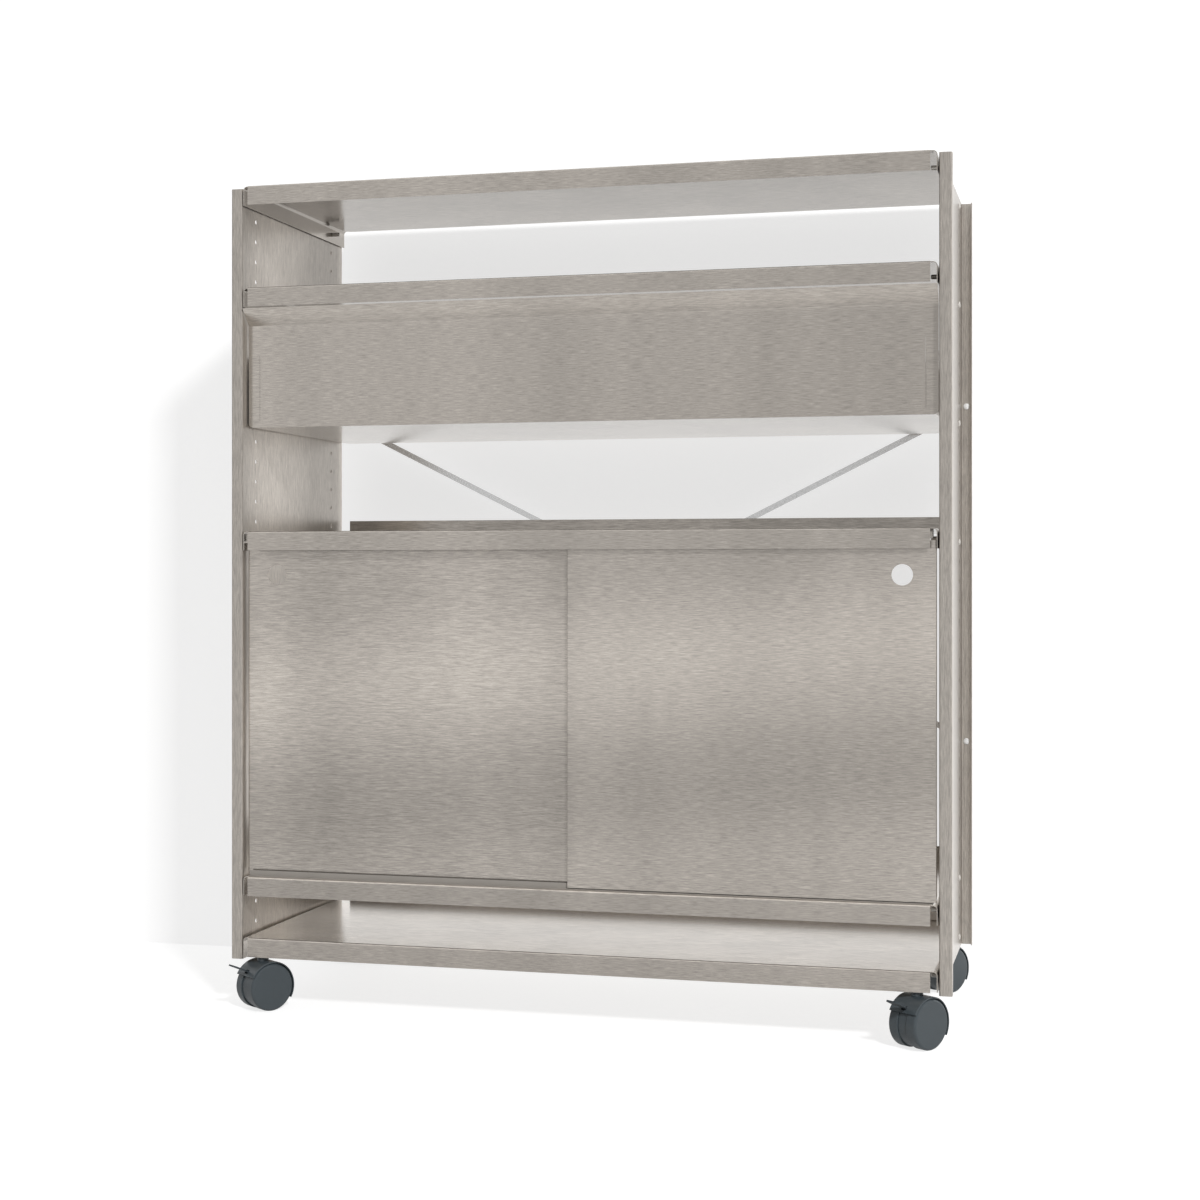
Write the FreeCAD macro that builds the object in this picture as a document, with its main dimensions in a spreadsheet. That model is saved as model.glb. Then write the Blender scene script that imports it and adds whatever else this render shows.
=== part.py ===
import FreeCAD, Part

# Highboard of folded sheet steel: two perforated side panels, five trays on plug pins, a drawer,
# a pair of sliding doors, a cross brace behind and four twin-wheel castors.
# Millimetres, Z up, front towards -Y. The origin lies on the floor below the middle of the carcass.
import math
import os

import Sketcher

Vector = FreeCAD.Vector

SIZES = (
    # Hole grid and side panels
    ("pitch", 32, "step of the hole columns and of every level"),
    ("rows", 38, "holes in a column"),
    ("first_hole", 20, "lowest hole above the panel's lower edge"),
    ("top_margin", 12, "panel above its highest hole"),
    ("hole_diameter", 7, "holes for the plug pins"),
    ("column_inset", 52, "hole column from the panel's front or rear plane"),
    ("inner_width", 1088, "clear width between the panels"),
    ("panel_depth", 418, "depth of a panel over its flanges"),
    ("panel_sheet", 1.5, "sheet of the panels"),
    ("panel_flange", 19, "flange from the panel's inner face outwards"),
    ("panel_return", 12, "return lip at the flange's edge"),
    ("panel_bend", 3, "outer radius of the panel's bends"),
    ("ground_clearance", 78, "floor to the panel's lower edge"),
    # Trays and their pins
    ("row_lower", 3, "hole row of the lower tray"),
    ("row_middle", 20, "hole row of the middle tray"),
    ("row_drawer", 26, "hole row of the drawer carcass"),
    ("row_upper", 32, "hole row of the upper tray"),
    ("tray_sheet", 1.2, "sheet of trays, drawer and doors"),
    ("tray_gap", 2, "tray's end to the panel"),
    ("tray_overhang", 7, "tray beyond the panel's front and rear plane"),
    ("tray_lip", 30, "height of the lips that are turned down"),
    ("tray_upstand", 27, "height of the rear lip that is turned up"),
    ("tray_above_pin", 15, "tray's top above its pins"),
    ("end_bend", 6.5, "outer radius of the bends at a tray's ends"),
    ("lip_bend", 3, "outer radius of the bends at front and rear"),
    ("corner_notch", 10, "open corner, along the lip"),
    ("corner_relief", 6, "open corner, along the end flange"),
    ("pin_play", 0.05, "play of a pin in its hole, at the radius"),
    ("pin_head", 10, "diameter of a pin's head"),
    ("pin_head_height", 2, "height of a pin's head"),
    ("pin_reach", 16, "pin inside the panel's inner face"),
    ("pin_chamfer", 1, "chamfer at a pin's tip"),
    # Drawer
    ("carcass_below_pin", 12, "carcass's underside below its pins"),
    ("carcass_wall", 64, "height of the carcass's walls"),
    ("carcass_bend", 8, "outer radius of the carcass's bends"),
    ("front_setback", 20, "drawer front behind the panel's front plane"),
    ("front_gap", 1, "drawer front to the carcass"),
    ("front_top_gap", 2, "drawer front below the upper tray's lip"),
    ("front_corner", 7, "radius of the front's lower corners"),
    ("strip_height", 26, "height of the leaning grip strip"),
    ("strip_lean", 24, "how far the grip strip leans out"),
    ("strip_bend", 2, "radius of the crease below the strip"),
    ("box_inset", 18, "box's side inside the front's end"),
    ("box_rise", 9, "box's underside above the carcass's underside"),
    ("box_wall", 107, "height of the box"),
    ("box_bend", 3, "outer radius of the box's bends"),
    ("box_back_gap", 34, "box's back to the carcass's rear plane"),
    ("tab_margin", 3, "tab's ends inside the box's height"),
    ("tab_play", 0.2, "play of a tab in its slot"),
    ("rail_rise", 24, "fixed rail above the carcass's underside"),
    ("rail_height", 36, "height of the fixed rail"),
    ("rail_sheet", 1.2, "sheet of the rails"),
    ("rail_depth", 12, "depth of a rail's flanges"),
    ("rail_play", 0.4, "running gap between the rails"),
    ("rail_length", 360, "length of a rail"),
    ("rail_setback", 4, "rail's front end behind the carcass's or the front's back"),
    # Sliding doors
    ("door_setback", 3, "front door's face behind the panel's front plane"),
    ("door_step", 11, "rear door's face behind the front door's face"),
    ("door_depth", 8, "depth of a door over its folded edges"),
    ("door_bend", 2, "outer radius of a door's edges"),
    ("fold_gap", 1.5, "door's folded edges above the lower track's ribs"),
    ("door_overlap", 27, "overlap of the closed doors"),
    ("door_side_gap", 0.6, "door's edge to the tray's end flange"),
    ("door_floor_gap", 2.5, "door above the lower tray"),
    ("door_top_gap", 18, "door's top below the middle tray's top"),
    ("finger_hole", 31, "diameter of the finger hole"),
    ("finger_inset", 53, "finger hole from the panel's inner face"),
    ("finger_height", 476, "finger hole above the lower tray"),
    ("glide_length", 40, "length of a glide"),
    ("glide_inset", 30, "glide from the door's edge"),
    ("glide_height", 14, "height of a glide's block"),
    ("glide_back", 0.5, "glide's back inside the door's depth"),
    ("track_sheet", 1, "base and walls of the tracks"),
    ("rib_height", 8, "height of the lower track's ribs"),
    ("track_margin", 4, "lower track beyond the middle of its ribs"),
    ("track_end", 1, "track's end inside the tray's end bend"),
    ("tongue", 3, "thickness of the upper glide's tongue"),
    ("tongue_rise", 12, "tongue above the door's top"),
    ("channel_depth", 13, "depth of the upper track's channels"),
    ("glide_play", 0.4, "side play of a glide on its track"),
    ("glide_lift", 0.3, "gap above the rib that carries a glide"),
    # Cross brace
    ("brace_span", 550, "height between a panel's two brace bolts"),
    ("brace_width", 9.5, "width of a brace bar"),
    ("brace_sheet", 2.5, "thickness of a brace bar"),
    ("brace_standoff", 22, "first bar behind the panel's rear plane"),
    ("brace_gap", 0.5, "gap between the crossing bars"),
    ("bolt_diameter", 6, "shank of the brace bolts"),
    ("bolt_play", 0.1, "play of a bolt in its holes, at the radius"),
    ("bolt_head", 10.5, "diameter of a bolt's head"),
    ("bolt_head_height", 3.5, "height of a bolt's head"),
    ("bolt_chamfer", 1.5, "chamfer of a bolt's head"),
    ("bolt_end", 1.5, "bolt beyond its nut"),
    ("sleeve_diameter", 9, "diameter of a distance sleeve"),
    ("nut_width", 10, "nut across its flats"),
    ("nut_height", 5, "height of a nut"),
    # Castors
    ("stem_inset", 32, "castor's stem from the panel's inner face"),
    ("stem_setback", 7, "castor's stem from the panel's front or rear plane"),
    ("castor_heading", 55, "heading of all castors, in degrees"),
    ("castor_trail", 2.5, "axle behind the stem"),
    ("wheel_diameter", 74, "diameter of a wheel"),
    ("castor_width", 51, "width over both wheels"),
    ("wheel_edge", 4, "rounding of a wheel's outer edge"),
    ("wheel_rim", 1, "rounding of a wheel's inner edge"),
    ("web_width", 15, "housing between the wheels"),
    ("wheel_gap", 0.5, "wheel to the housing's web"),
    ("hood_gap", 1, "wheel to the hood"),
    ("hood_sheet", 2, "thickness of the hood"),
    ("hood_width", 50, "width of the hood"),
    ("hood_edge", 1.2, "rounding of the hood's outer rims"),
    ("hood_front", 19, "hood's front edge above the axle"),
    ("hood_rear", 20, "hood's rear edge below the axle"),
    ("web_inset", 2, "rim of the web inside the wheels' treads"),
    ("axle_diameter", 8, "axle of a castor"),
    ("axle_play", 0.05, "play of axle and stem in the housing, at the radius"),
    ("axle_cover", 4, "closed wheel face outside the axle's end"),
    ("wheel_play", 0.01, "play of the axle in a wheel, at the radius"),
    ("stem_diameter", 8, "stem of a castor"),
    ("stem_depth", 32, "stem inside the housing"),
    ("collar_diameter", 18, "neck, collar and bush of a castor"),
    ("collar_height", 3, "collar of the stem"),
    ("bush_length", 26, "bush under the bottom tray"),
    ("stud_gap", 2, "end of the stem below the tray"),
    ("swivel_gap", 0.3, "gap between the neck and the collar"),
    # Brake lever
    ("pivot_reach", 37, "brake pivot from the axle"),
    ("pivot_angle", 41, "brake pivot above the horizontal through the axle, in degrees"),
    ("pivot_radius", 1.2, "radius of the pivot pin"),
    ("barrel_radius", 2.2, "radius of the lever's barrel"),
    ("lever_width", 8, "width of the lever in its slot"),
    ("lever_play", 0.4, "lever to the sides of its slot"),
    ("lever_clear", 0.6, "lever and barrel to the slot above and below"),
    ("lever_slope", 24, "rise of the released lever, in degrees"),
    ("lever_press", 18, "travel of the lever, in degrees"),
    ("lever_root", 9, "narrow length of the lever"),
    ("lever_blade", 25, "wide length of the lever"),
    ("blade_width", 24, "width of the lever's blade"),
    ("blade_corner", 6, "radius of the blade's corners"),
    ("lever_sheet", 2.4, "thickness of the lever"),
)


class Size:
    """A number together with the sheet formula that gives it."""

    def __init__(self, number, formula):
        self.number = number
        self.formula = formula

    def __add__(self, other):
        other = as_size(other)
        return Size(self.number + other.number, f"({self.formula} + {other.formula})")

    def __sub__(self, other):
        other = as_size(other)
        return Size(self.number - other.number, f"({self.formula} - {other.formula})")

    def __mul__(self, other):
        other = as_size(other)
        return Size(self.number * other.number, f"({self.formula} * {other.formula})")

    def __truediv__(self, other):
        other = as_size(other)
        return Size(self.number / other.number, f"({self.formula} / {other.formula})")

    def __neg__(self):
        return Size(-self.number, f"(-1 * {self.formula})")

    __rmul__ = __mul__


def as_size(value):
    """A plain number as a size."""
    return value if isinstance(value, Size) else Size(value, repr(value))


def root(value):
    return Size(math.sqrt(value.number), f"sqrt({value.formula})")


def cosine(degrees):
    return Size(math.cos(math.radians(degrees.number)), f"cos({degrees.formula})")


def sine(degrees):
    return Size(math.sin(math.radians(degrees.number)), f"sin({degrees.formula})")


def slope(rise, run):
    """The angle of a slope, in degrees."""
    return Size(math.degrees(math.atan(rise.number / run.number)), f"atan({rise.formula} / {run.formula})")


def fill_sheet(doc):
    """Writes the driving sizes into the document's sheet and returns them by name."""
    sheet = doc.addObject("Spreadsheet::Sheet", "Sizes")
    sizes = {}
    for line, (alias, number, meaning) in enumerate(SIZES, 1):
        sheet.set(f"A{line}", meaning)
        sheet.set(f"B{line}", str(number))
        sheet.setAlias(f"B{line}", alias)
        sizes[alias] = Size(number, f"Sizes.{alias}")
    doc.recompute()
    return sizes


doc = FreeCAD.newDocument("Highboard")
size = fill_sheet(doc)
ZERO = Size(0, "0")
SUBPARTS = []

# Where each plane's sketch lies: its two directions, and the sign of its normal along the third.
PLANES = {"XY_Plane": ("X", "Y", "Z", 1), "XZ_Plane": ("X", "Z", "Y", -1), "YZ_Plane": ("Y", "Z", "X", 1)}
AXES = "XYZ"


def new_body(label, subpart=True):
    """An empty body; a sub-part is written to a file under its label."""
    body = doc.addObject("PartDesign::Body", label)
    body.Label = label
    if subpart:
        SUBPARTS.append(body)
    return body


def set_place(body, x=ZERO, y=ZERO, z=ZERO, turn=None, axis=Vector(0, 0, 1)):
    """Moves a body by three sizes and, where given, turns it about an axis."""
    if turn is not None:
        body.Placement.Rotation = FreeCAD.Rotation(axis, turn.number)
        body.setExpression("Placement.Rotation.Angle", turn.formula)
    for letter, value in (("x", x), ("y", y), ("z", z)):
        body.setExpression(f"Placement.Base.{letter}", value.formula)


def new_sketch(body, name, plane, level):
    """A sketch on one of the body's own planes, shifted along that plane's normal."""
    sketch = body.newObject("Sketcher::SketchObject", name)
    support = next(feature for feature in body.Origin.OriginFeatures if feature.Role == plane)
    sketch.AttachmentSupport = (support, [""])
    sketch.MapMode = "FlatFace"
    sketch.setExpression("AttachmentOffset.Base.z", level.formula)
    return sketch


def fix_point(sketch, geometry, position, u, v, tag):
    """Ties one point of a sketch to two sizes, measured from the sketch's origin."""
    for kind, value, axis, letter in (("DistanceX", u, -2, "u"), ("DistanceY", v, -1, "v")):
        if value is ZERO:
            sketch.addConstraint(Sketcher.Constraint("PointOnObject", geometry, position, axis))
            continue
        index = sketch.addConstraint(Sketcher.Constraint(kind, -1, 1, geometry, position, value.number))
        sketch.renameConstraint(index, f"{letter}{tag}")
        sketch.setExpression(f"Constraints.{letter}{tag}", value.formula)


def draw_outline(sketch, corners):
    """A closed outline of straight lines through the given corners."""
    points = [Vector(u.number, v.number, 0) for u, v in corners]
    count = len(points)
    for index in range(count):
        sketch.addGeometry(Part.LineSegment(points[index], points[(index + 1) % count]), False)
    for index in range(count):
        sketch.addConstraint(Sketcher.Constraint("Coincident", index, 2, (index + 1) % count, 1))
    for index, (u, v) in enumerate(corners):
        fix_point(sketch, index, 1, u, v, index)


def draw_circles(sketch, circles):
    """Circles, each given by the place of its centre and its diameter."""
    for index, (u, v, diameter) in enumerate(circles):
        centre = Vector(u.number, v.number, 0)
        sketch.addGeometry(Part.Circle(centre, Vector(0, 0, 1), diameter.number / 2), False)
        fix_point(sketch, index, 3, u, v, index)
        constraint = sketch.addConstraint(Sketcher.Constraint("Diameter", index, diameter.number))
        sketch.renameConstraint(constraint, f"d{index}")
        sketch.setExpression(f"Constraints.d{index}", diameter.formula)


def add(body, name, plane, draw, shape, low, high):
    """Pads an outline or circles from low to high along the plane's third direction."""
    forward = PLANES[plane][3] > 0
    sketch = new_sketch(body, f"{name}_sketch", plane, low if forward else -high)
    draw(sketch, shape)
    pad = body.newObject("PartDesign::Pad", name)
    pad.Profile = sketch
    pad.setExpression("Length", (high - low).formula)
    doc.recompute()
    return pad


def cut(body, name, plane, draw, shape, low, high):
    """Cuts an outline or circles out of the body from low to high, and proves that something was cut."""
    before = body.Tip.Shape.Volume
    forward = PLANES[plane][3] > 0
    sketch = new_sketch(body, f"{name}_sketch", plane, high if forward else -low)
    draw(sketch, shape)
    pocket = body.newObject("PartDesign::Pocket", name)
    pocket.Profile = sketch
    pocket.setExpression("Length", (high - low).formula)
    doc.recompute()
    if not pocket.Shape.Volume < before:
        raise RuntimeError(f"{body.Label}: {name} cuts nothing")
    return pocket


def turn(body, name, plane, corners, axis):
    """Revolves an outline about its sketch's own horizontal or vertical axis."""
    sketch = new_sketch(body, f"{name}_sketch", plane, ZERO)
    draw_outline(sketch, corners)
    revolution = body.newObject("PartDesign::Revolution", name)
    revolution.Profile = sketch
    revolution.ReferenceAxis = (sketch, [axis])
    revolution.Angle = 360
    doc.recompute()
    return revolution


def round_edges(body, name, plane, corners, radius):
    """Rounds the straight edges that stand on the given corners of an outline."""
    base = body.Tip
    first, second, along, _ = PLANES[plane]
    names = []
    for index, edge in enumerate(base.Shape.Edges, 1):
        start, end = (vertex.Point for vertex in (edge.Vertexes[0], edge.Vertexes[-1]))
        across = end - start
        across[AXES.index(along)] = 0
        if across.Length > 1e-6 or edge.Curve.TypeId != "Part::GeomLine":
            continue
        for u, v in corners:
            if math.hypot(start[AXES.index(first)] - u.number, start[AXES.index(second)] - v.number) < 1e-4:
                names.append(f"Edge{index}")
    if not names:
        raise RuntimeError(f"{body.Label}: {name} finds no edge")
    fillet = body.newObject("PartDesign::Fillet", name)
    fillet.Base = (base, names)
    fillet.setExpression("Radius", radius.formula)
    doc.recompute()
    return fillet


def round_rims(body, name, radius, places, rounding):
    """Rounds the circular edges of one radius that lie at the given places along the body's Y direction."""
    base = body.Tip
    names = []
    for index, edge in enumerate(base.Shape.Edges, 1):
        if edge.Curve.TypeId != "Part::GeomCircle" or abs(edge.Curve.Radius - radius.number) > 1e-4:
            continue
        if any(abs(edge.Curve.Center.y - place.number) < 1e-4 for place in places):
            names.append(f"Edge{index}")
    if not names:
        raise RuntimeError(f"{body.Label}: {name} finds no edge")
    fillet = body.newObject("PartDesign::Fillet", name)
    fillet.Base = (base, names)
    fillet.setExpression("Radius", rounding.formula)
    doc.recompute()
    return fillet


def mirrored(source, axis, place=ZERO):
    """The mirror image of an object in the plane across an axis, at a place on that axis."""
    image = doc.addObject("Part::Mirroring", f"{source.Name}_mirror")
    image.Source = source
    image.Normal = Vector(*(1 if letter == axis else 0 for letter in "XYZ"))
    image.setExpression(f"Base.{axis.lower()}", place.formula)
    return image


def group(label, members):
    """Several solids under one label, as one sub-part."""
    compound = doc.addObject("Part::Compound", label)
    compound.Label = label
    compound.Links = members
    SUBPARTS.append(compound)
    return compound


def at_four_corners(label, body):
    """A piece and its mirror images to the rear and to the other side, as one group."""
    behind = mirrored(body, "Y")
    return group(label, [body, behind, mirrored(body, "X"), mirrored(behind, "X")])


# Places that several pieces share
HALF_INNER = size["inner_width"] / 2
HALF_DEPTH = size["panel_depth"] / 2
PANEL_HEIGHT = size["first_hole"] + size["pitch"] * (size["rows"] - 1) + size["top_margin"]
PANEL_TOP = size["ground_clearance"] + PANEL_HEIGHT
PANEL_MIDDLE = size["ground_clearance"] + PANEL_HEIGHT / 2
COLUMN = HALF_DEPTH - size["column_inset"]
TRAY_HALF = HALF_INNER - size["tray_gap"]
TRAY_INSIDE = TRAY_HALF - size["tray_sheet"]
TRAY_REAR = HALF_DEPTH + size["tray_overhang"]
TRAY_FLAT = TRAY_REAR - size["corner_relief"]
LIP_HALF = TRAY_HALF - size["corner_notch"]


def hole_height(row):
    """Height of a row of holes above the floor."""
    return size["ground_clearance"] + size["first_hole"] + size["pitch"] * row


def tray_top(row):
    """Height of a tray's top, for the row that its pins are in."""
    return hole_height(row) + size["tray_above_pin"]


ROW_TOP = size["rows"] - 1
LOWER_TOP = tray_top(size["row_lower"])
MIDDLE_TOP = tray_top(size["row_middle"])
CARCASS_FLOOR = hole_height(size["row_drawer"]) - size["carcass_below_pin"]
FRONT_FACE = size["front_setback"] - HALF_DEPTH
FRONT_BACK = FRONT_FACE + size["tray_sheet"]
CARCASS_FRONT = FRONT_BACK + size["front_gap"]
BOX_HALF = TRAY_HALF - size["box_inset"]
BOX_FLOOR = CARCASS_FLOOR + size["box_rise"]
BOX_REAR = TRAY_REAR - size["box_back_gap"]
BRACE_X = HALF_INNER + size["panel_flange"] / 2
BRACE_LENGTH = root(BRACE_X * BRACE_X * 4 + size["brace_span"] * size["brace_span"])
FIRST_BAR = HALF_DEPTH + size["brace_standoff"]
SECOND_BAR = FIRST_BAR + size["brace_sheet"] + size["brace_gap"]


def make_panel(label, side):
    """A side panel: one sheet folded to a channel that is open outwards, with two columns of holes."""
    body = new_body(label)
    sheet = size["panel_sheet"]
    inside = side * HALF_INNER
    web = side * (HALF_INNER + sheet)
    lip = side * (HALF_INNER + size["panel_flange"] - sheet)
    edge = side * (HALF_INNER + size["panel_flange"])
    rear_half = [
        (web, HALF_DEPTH - sheet),
        (lip, HALF_DEPTH - sheet),
        (lip, HALF_DEPTH - size["panel_return"]),
        (edge, HALF_DEPTH - size["panel_return"]),
        (edge, HALF_DEPTH),
        (inside, HALF_DEPTH),
    ]
    front_half = [(u, -v) for u, v in reversed(rear_half)]
    outline = front_half + rear_half
    add(body, "Channel", "XY_Plane", draw_outline, outline, size["ground_clearance"], PANEL_TOP)
    outer = [(u, sign * HALF_DEPTH) for u in (inside, edge) for sign in (-1, 1)]
    inner = [(u, sign * (HALF_DEPTH - sheet)) for u in (web, lip) for sign in (-1, 1)]
    round_edges(body, "OuterBends", "XY_Plane", outer, size["panel_bend"])
    round_edges(body, "InnerBends", "XY_Plane", inner, size["panel_bend"] - sheet)

    bolt_hole = size["bolt_diameter"] + 2 * size["bolt_play"]
    bolts = [
        (side * BRACE_X, PANEL_MIDDLE + sign * size["brace_span"] / 2, bolt_hole)
        for sign in (-1, 1)
    ]
    cut(body, "BraceHoles", "XZ_Plane", draw_circles, bolts, HALF_DEPTH - 2 * sheet, HALF_DEPTH + sheet)

    first_row = [(sign * COLUMN, hole_height(ZERO), size["hole_diameter"]) for sign in (-1, 1)]
    ends = sorted((inside - side * sheet, web + side * sheet), key=lambda place: place.number)
    holes = cut(body, "FirstHoles", "YZ_Plane", draw_circles, first_row, *ends)
    columns = body.newObject("PartDesign::LinearPattern", "HoleColumns")
    columns.Originals = [holes]
    columns.Direction = (holes.Profile[0], ["V_Axis"])
    columns.setExpression("Length", (size["pitch"] * ROW_TOP).formula)
    columns.setExpression("Occurrences", size["rows"].formula)
    body.Tip = columns
    doc.recompute()


def make_tray(label, row):
    """A shelf: one sheet with its front lip and ends turned down, its rear lip turned up and open corners."""
    body = new_body(label)
    sheet = size["tray_sheet"]
    lip = -size["tray_lip"]
    right_half = [(TRAY_HALF, ZERO), (TRAY_HALF, lip), (TRAY_INSIDE, lip), (TRAY_INSIDE, -sheet)]
    left_half = [(-u, v) for u, v in reversed(right_half)]
    add(body, "Deck", "XZ_Plane", draw_outline, right_half + left_half, -TRAY_FLAT, TRAY_FLAT)
    round_edges(body, "EndBends", "XZ_Plane", [right_half[0], left_half[-1]], size["end_bend"])
    round_edges(body, "EndInsides", "XZ_Plane", [right_half[-1], left_half[0]], size["end_bend"] - sheet)

    front = [
        (-TRAY_FLAT, ZERO),
        (-TRAY_REAR, ZERO),
        (-TRAY_REAR, lip),
        (sheet - TRAY_REAR, lip),
        (sheet - TRAY_REAR, -sheet),
        (-TRAY_FLAT, -sheet),
    ]
    add(body, "FrontLip", "YZ_Plane", draw_outline, front, -LIP_HALF, LIP_HALF)
    rear = [
        (TRAY_FLAT, -sheet),
        (TRAY_REAR, -sheet),
        (TRAY_REAR, size["tray_upstand"]),
        (TRAY_REAR - sheet, size["tray_upstand"]),
        (TRAY_REAR - sheet, ZERO),
        (TRAY_FLAT, ZERO),
    ]
    add(body, "RearLip", "YZ_Plane", draw_outline, rear, -LIP_HALF, LIP_HALF)
    round_edges(body, "LipBends", "YZ_Plane", [front[1], rear[1]], size["lip_bend"])
    round_edges(body, "LipInsides", "YZ_Plane", [front[4], rear[4]], size["lip_bend"] - sheet)

    holes = [(sign * COLUMN, -size["tray_above_pin"], size["hole_diameter"]) for sign in (-1, 1)]
    cut(body, "PinHoles", "YZ_Plane", draw_circles, holes, -HALF_INNER, HALF_INNER)
    set_place(body, z=tray_top(row))


def make_pins(label, row):
    """Four plug pins through the panels: head outside, shank through panel and tray, chamfered tip."""
    body = new_body(f"{label}_first", subpart=False)
    radius = size["hole_diameter"] / 2 - size["pin_play"]
    seat = HALF_INNER + size["panel_sheet"]
    tip = HALF_INNER - size["pin_reach"]
    corners = [
        (tip, ZERO),
        (tip, radius - size["pin_chamfer"]),
        (tip + size["pin_chamfer"], radius),
        (seat, radius),
        (seat, size["pin_head"] / 2),
        (seat + size["pin_head_height"], size["pin_head"] / 2),
        (seat + size["pin_head_height"], ZERO),
    ]
    turn(body, "Pin", "XZ_Plane", corners, "H_Axis")
    set_place(body, y=-COLUMN, z=hole_height(row))
    at_four_corners(label, body)


def make_carcass():
    """The drawer's carcass: a tray that lies flat side down, with its walls and rear lip turned up."""
    body = new_body("drawer_carcass")
    sheet = size["tray_sheet"]
    wall = size["carcass_wall"]
    right_half = [(TRAY_HALF, ZERO), (TRAY_HALF, wall), (TRAY_INSIDE, wall), (TRAY_INSIDE, sheet)]
    left_half = [(-u, v) for u, v in reversed(right_half)]
    add(body, "Trough", "XZ_Plane", draw_outline, right_half + left_half, CARCASS_FRONT, TRAY_FLAT)
    round_edges(body, "Bends", "XZ_Plane", [right_half[0], left_half[-1]], size["carcass_bend"])
    round_edges(body, "Insides", "XZ_Plane", [right_half[-1], left_half[0]], size["carcass_bend"] - sheet)
    rear = [
        (TRAY_FLAT, ZERO),
        (TRAY_REAR, ZERO),
        (TRAY_REAR, size["tray_upstand"]),
        (TRAY_REAR - sheet, size["tray_upstand"]),
        (TRAY_REAR - sheet, sheet),
        (TRAY_FLAT, sheet),
    ]
    add(body, "RearLip", "YZ_Plane", draw_outline, rear, -LIP_HALF, LIP_HALF)
    round_edges(body, "LipBend", "YZ_Plane", [rear[1]], size["lip_bend"])
    round_edges(body, "LipInside", "YZ_Plane", [rear[4]], size["lip_bend"] - sheet)
    holes = [(sign * COLUMN, size["carcass_below_pin"], size["hole_diameter"]) for sign in (-1, 1)]
    cut(body, "PinHoles", "YZ_Plane", draw_circles, holes, -HALF_INNER, HALF_INNER)
    set_place(body, z=CARCASS_FLOOR)


def make_rails(name, side):
    """A runner: a fixed rail on the carcass's wall, and a moving rail in it on the box's side."""
    sheet = size["rail_sheet"]
    low = CARCASS_FLOOR + size["rail_rise"]
    high = low + size["rail_height"]
    wall = side * TRAY_INSIDE
    back = side * (TRAY_INSIDE - sheet)
    mouth = side * (TRAY_INSIDE - size["rail_depth"])
    fixed = [
        (wall, low),
        (mouth, low),
        (mouth, low + sheet),
        (back, low + sheet),
        (back, high - sheet),
        (mouth, high - sheet),
        (mouth, high),
        (wall, high),
    ]
    start = CARCASS_FRONT + size["rail_setback"]
    body = new_body(f"runner_{name}_fixed")
    add(body, "Rail", "XZ_Plane", draw_outline, fixed, start, start + size["rail_length"])

    low = low + sheet + size["rail_play"]
    high = high - sheet - size["rail_play"]
    wall = side * BOX_HALF
    back = side * (BOX_HALF + sheet)
    mouth = side * (BOX_HALF + size["rail_depth"])
    moving = [
        (wall, low),
        (mouth, low),
        (mouth, low + sheet),
        (back, low + sheet),
        (back, high - sheet),
        (mouth, high - sheet),
        (mouth, high),
        (wall, high),
    ]
    start = FRONT_BACK + size["rail_setback"]
    body = new_body(f"runner_{name}_moving")
    add(body, "Rail", "XZ_Plane", draw_outline, moving, start, start + size["rail_length"])


def tab_range():
    """Lower and upper end of the tabs that join the box to the front."""
    return BOX_FLOOR + size["tab_margin"], BOX_FLOOR + size["box_wall"] - size["tab_margin"]


def make_box():
    """The drawer's box: a folded trough with a back, whose sides end in tabs for the front's slots."""
    body = new_body("drawer_box")
    sheet = size["tray_sheet"]
    inside = BOX_HALF - sheet
    rim = BOX_FLOOR + size["box_wall"]
    right_half = [(BOX_HALF, BOX_FLOOR), (BOX_HALF, rim), (inside, rim), (inside, BOX_FLOOR + sheet)]
    left_half = [(-u, v) for u, v in reversed(right_half)]
    add(body, "Trough", "XZ_Plane", draw_outline, right_half + left_half, FRONT_BACK, BOX_REAR)
    round_edges(body, "Bends", "XZ_Plane", [right_half[0], left_half[-1]], size["box_bend"])
    round_edges(body, "Insides", "XZ_Plane", [right_half[-1], left_half[0]], size["box_bend"] - sheet)
    back = [(-inside, BOX_FLOOR + sheet), (inside, BOX_FLOOR + sheet), (inside, rim), (-inside, rim)]
    add(body, "Back", "XZ_Plane", draw_outline, back, BOX_REAR - sheet, BOX_REAR)
    low, high = tab_range()
    for name, side in (("LeftTab", -1), ("RightTab", 1)):
        tab = [(side * inside, low), (side * BOX_HALF, low), (side * BOX_HALF, high), (side * inside, high)]
        add(body, name, "XZ_Plane", draw_outline, tab, FRONT_FACE, FRONT_BACK)


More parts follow.
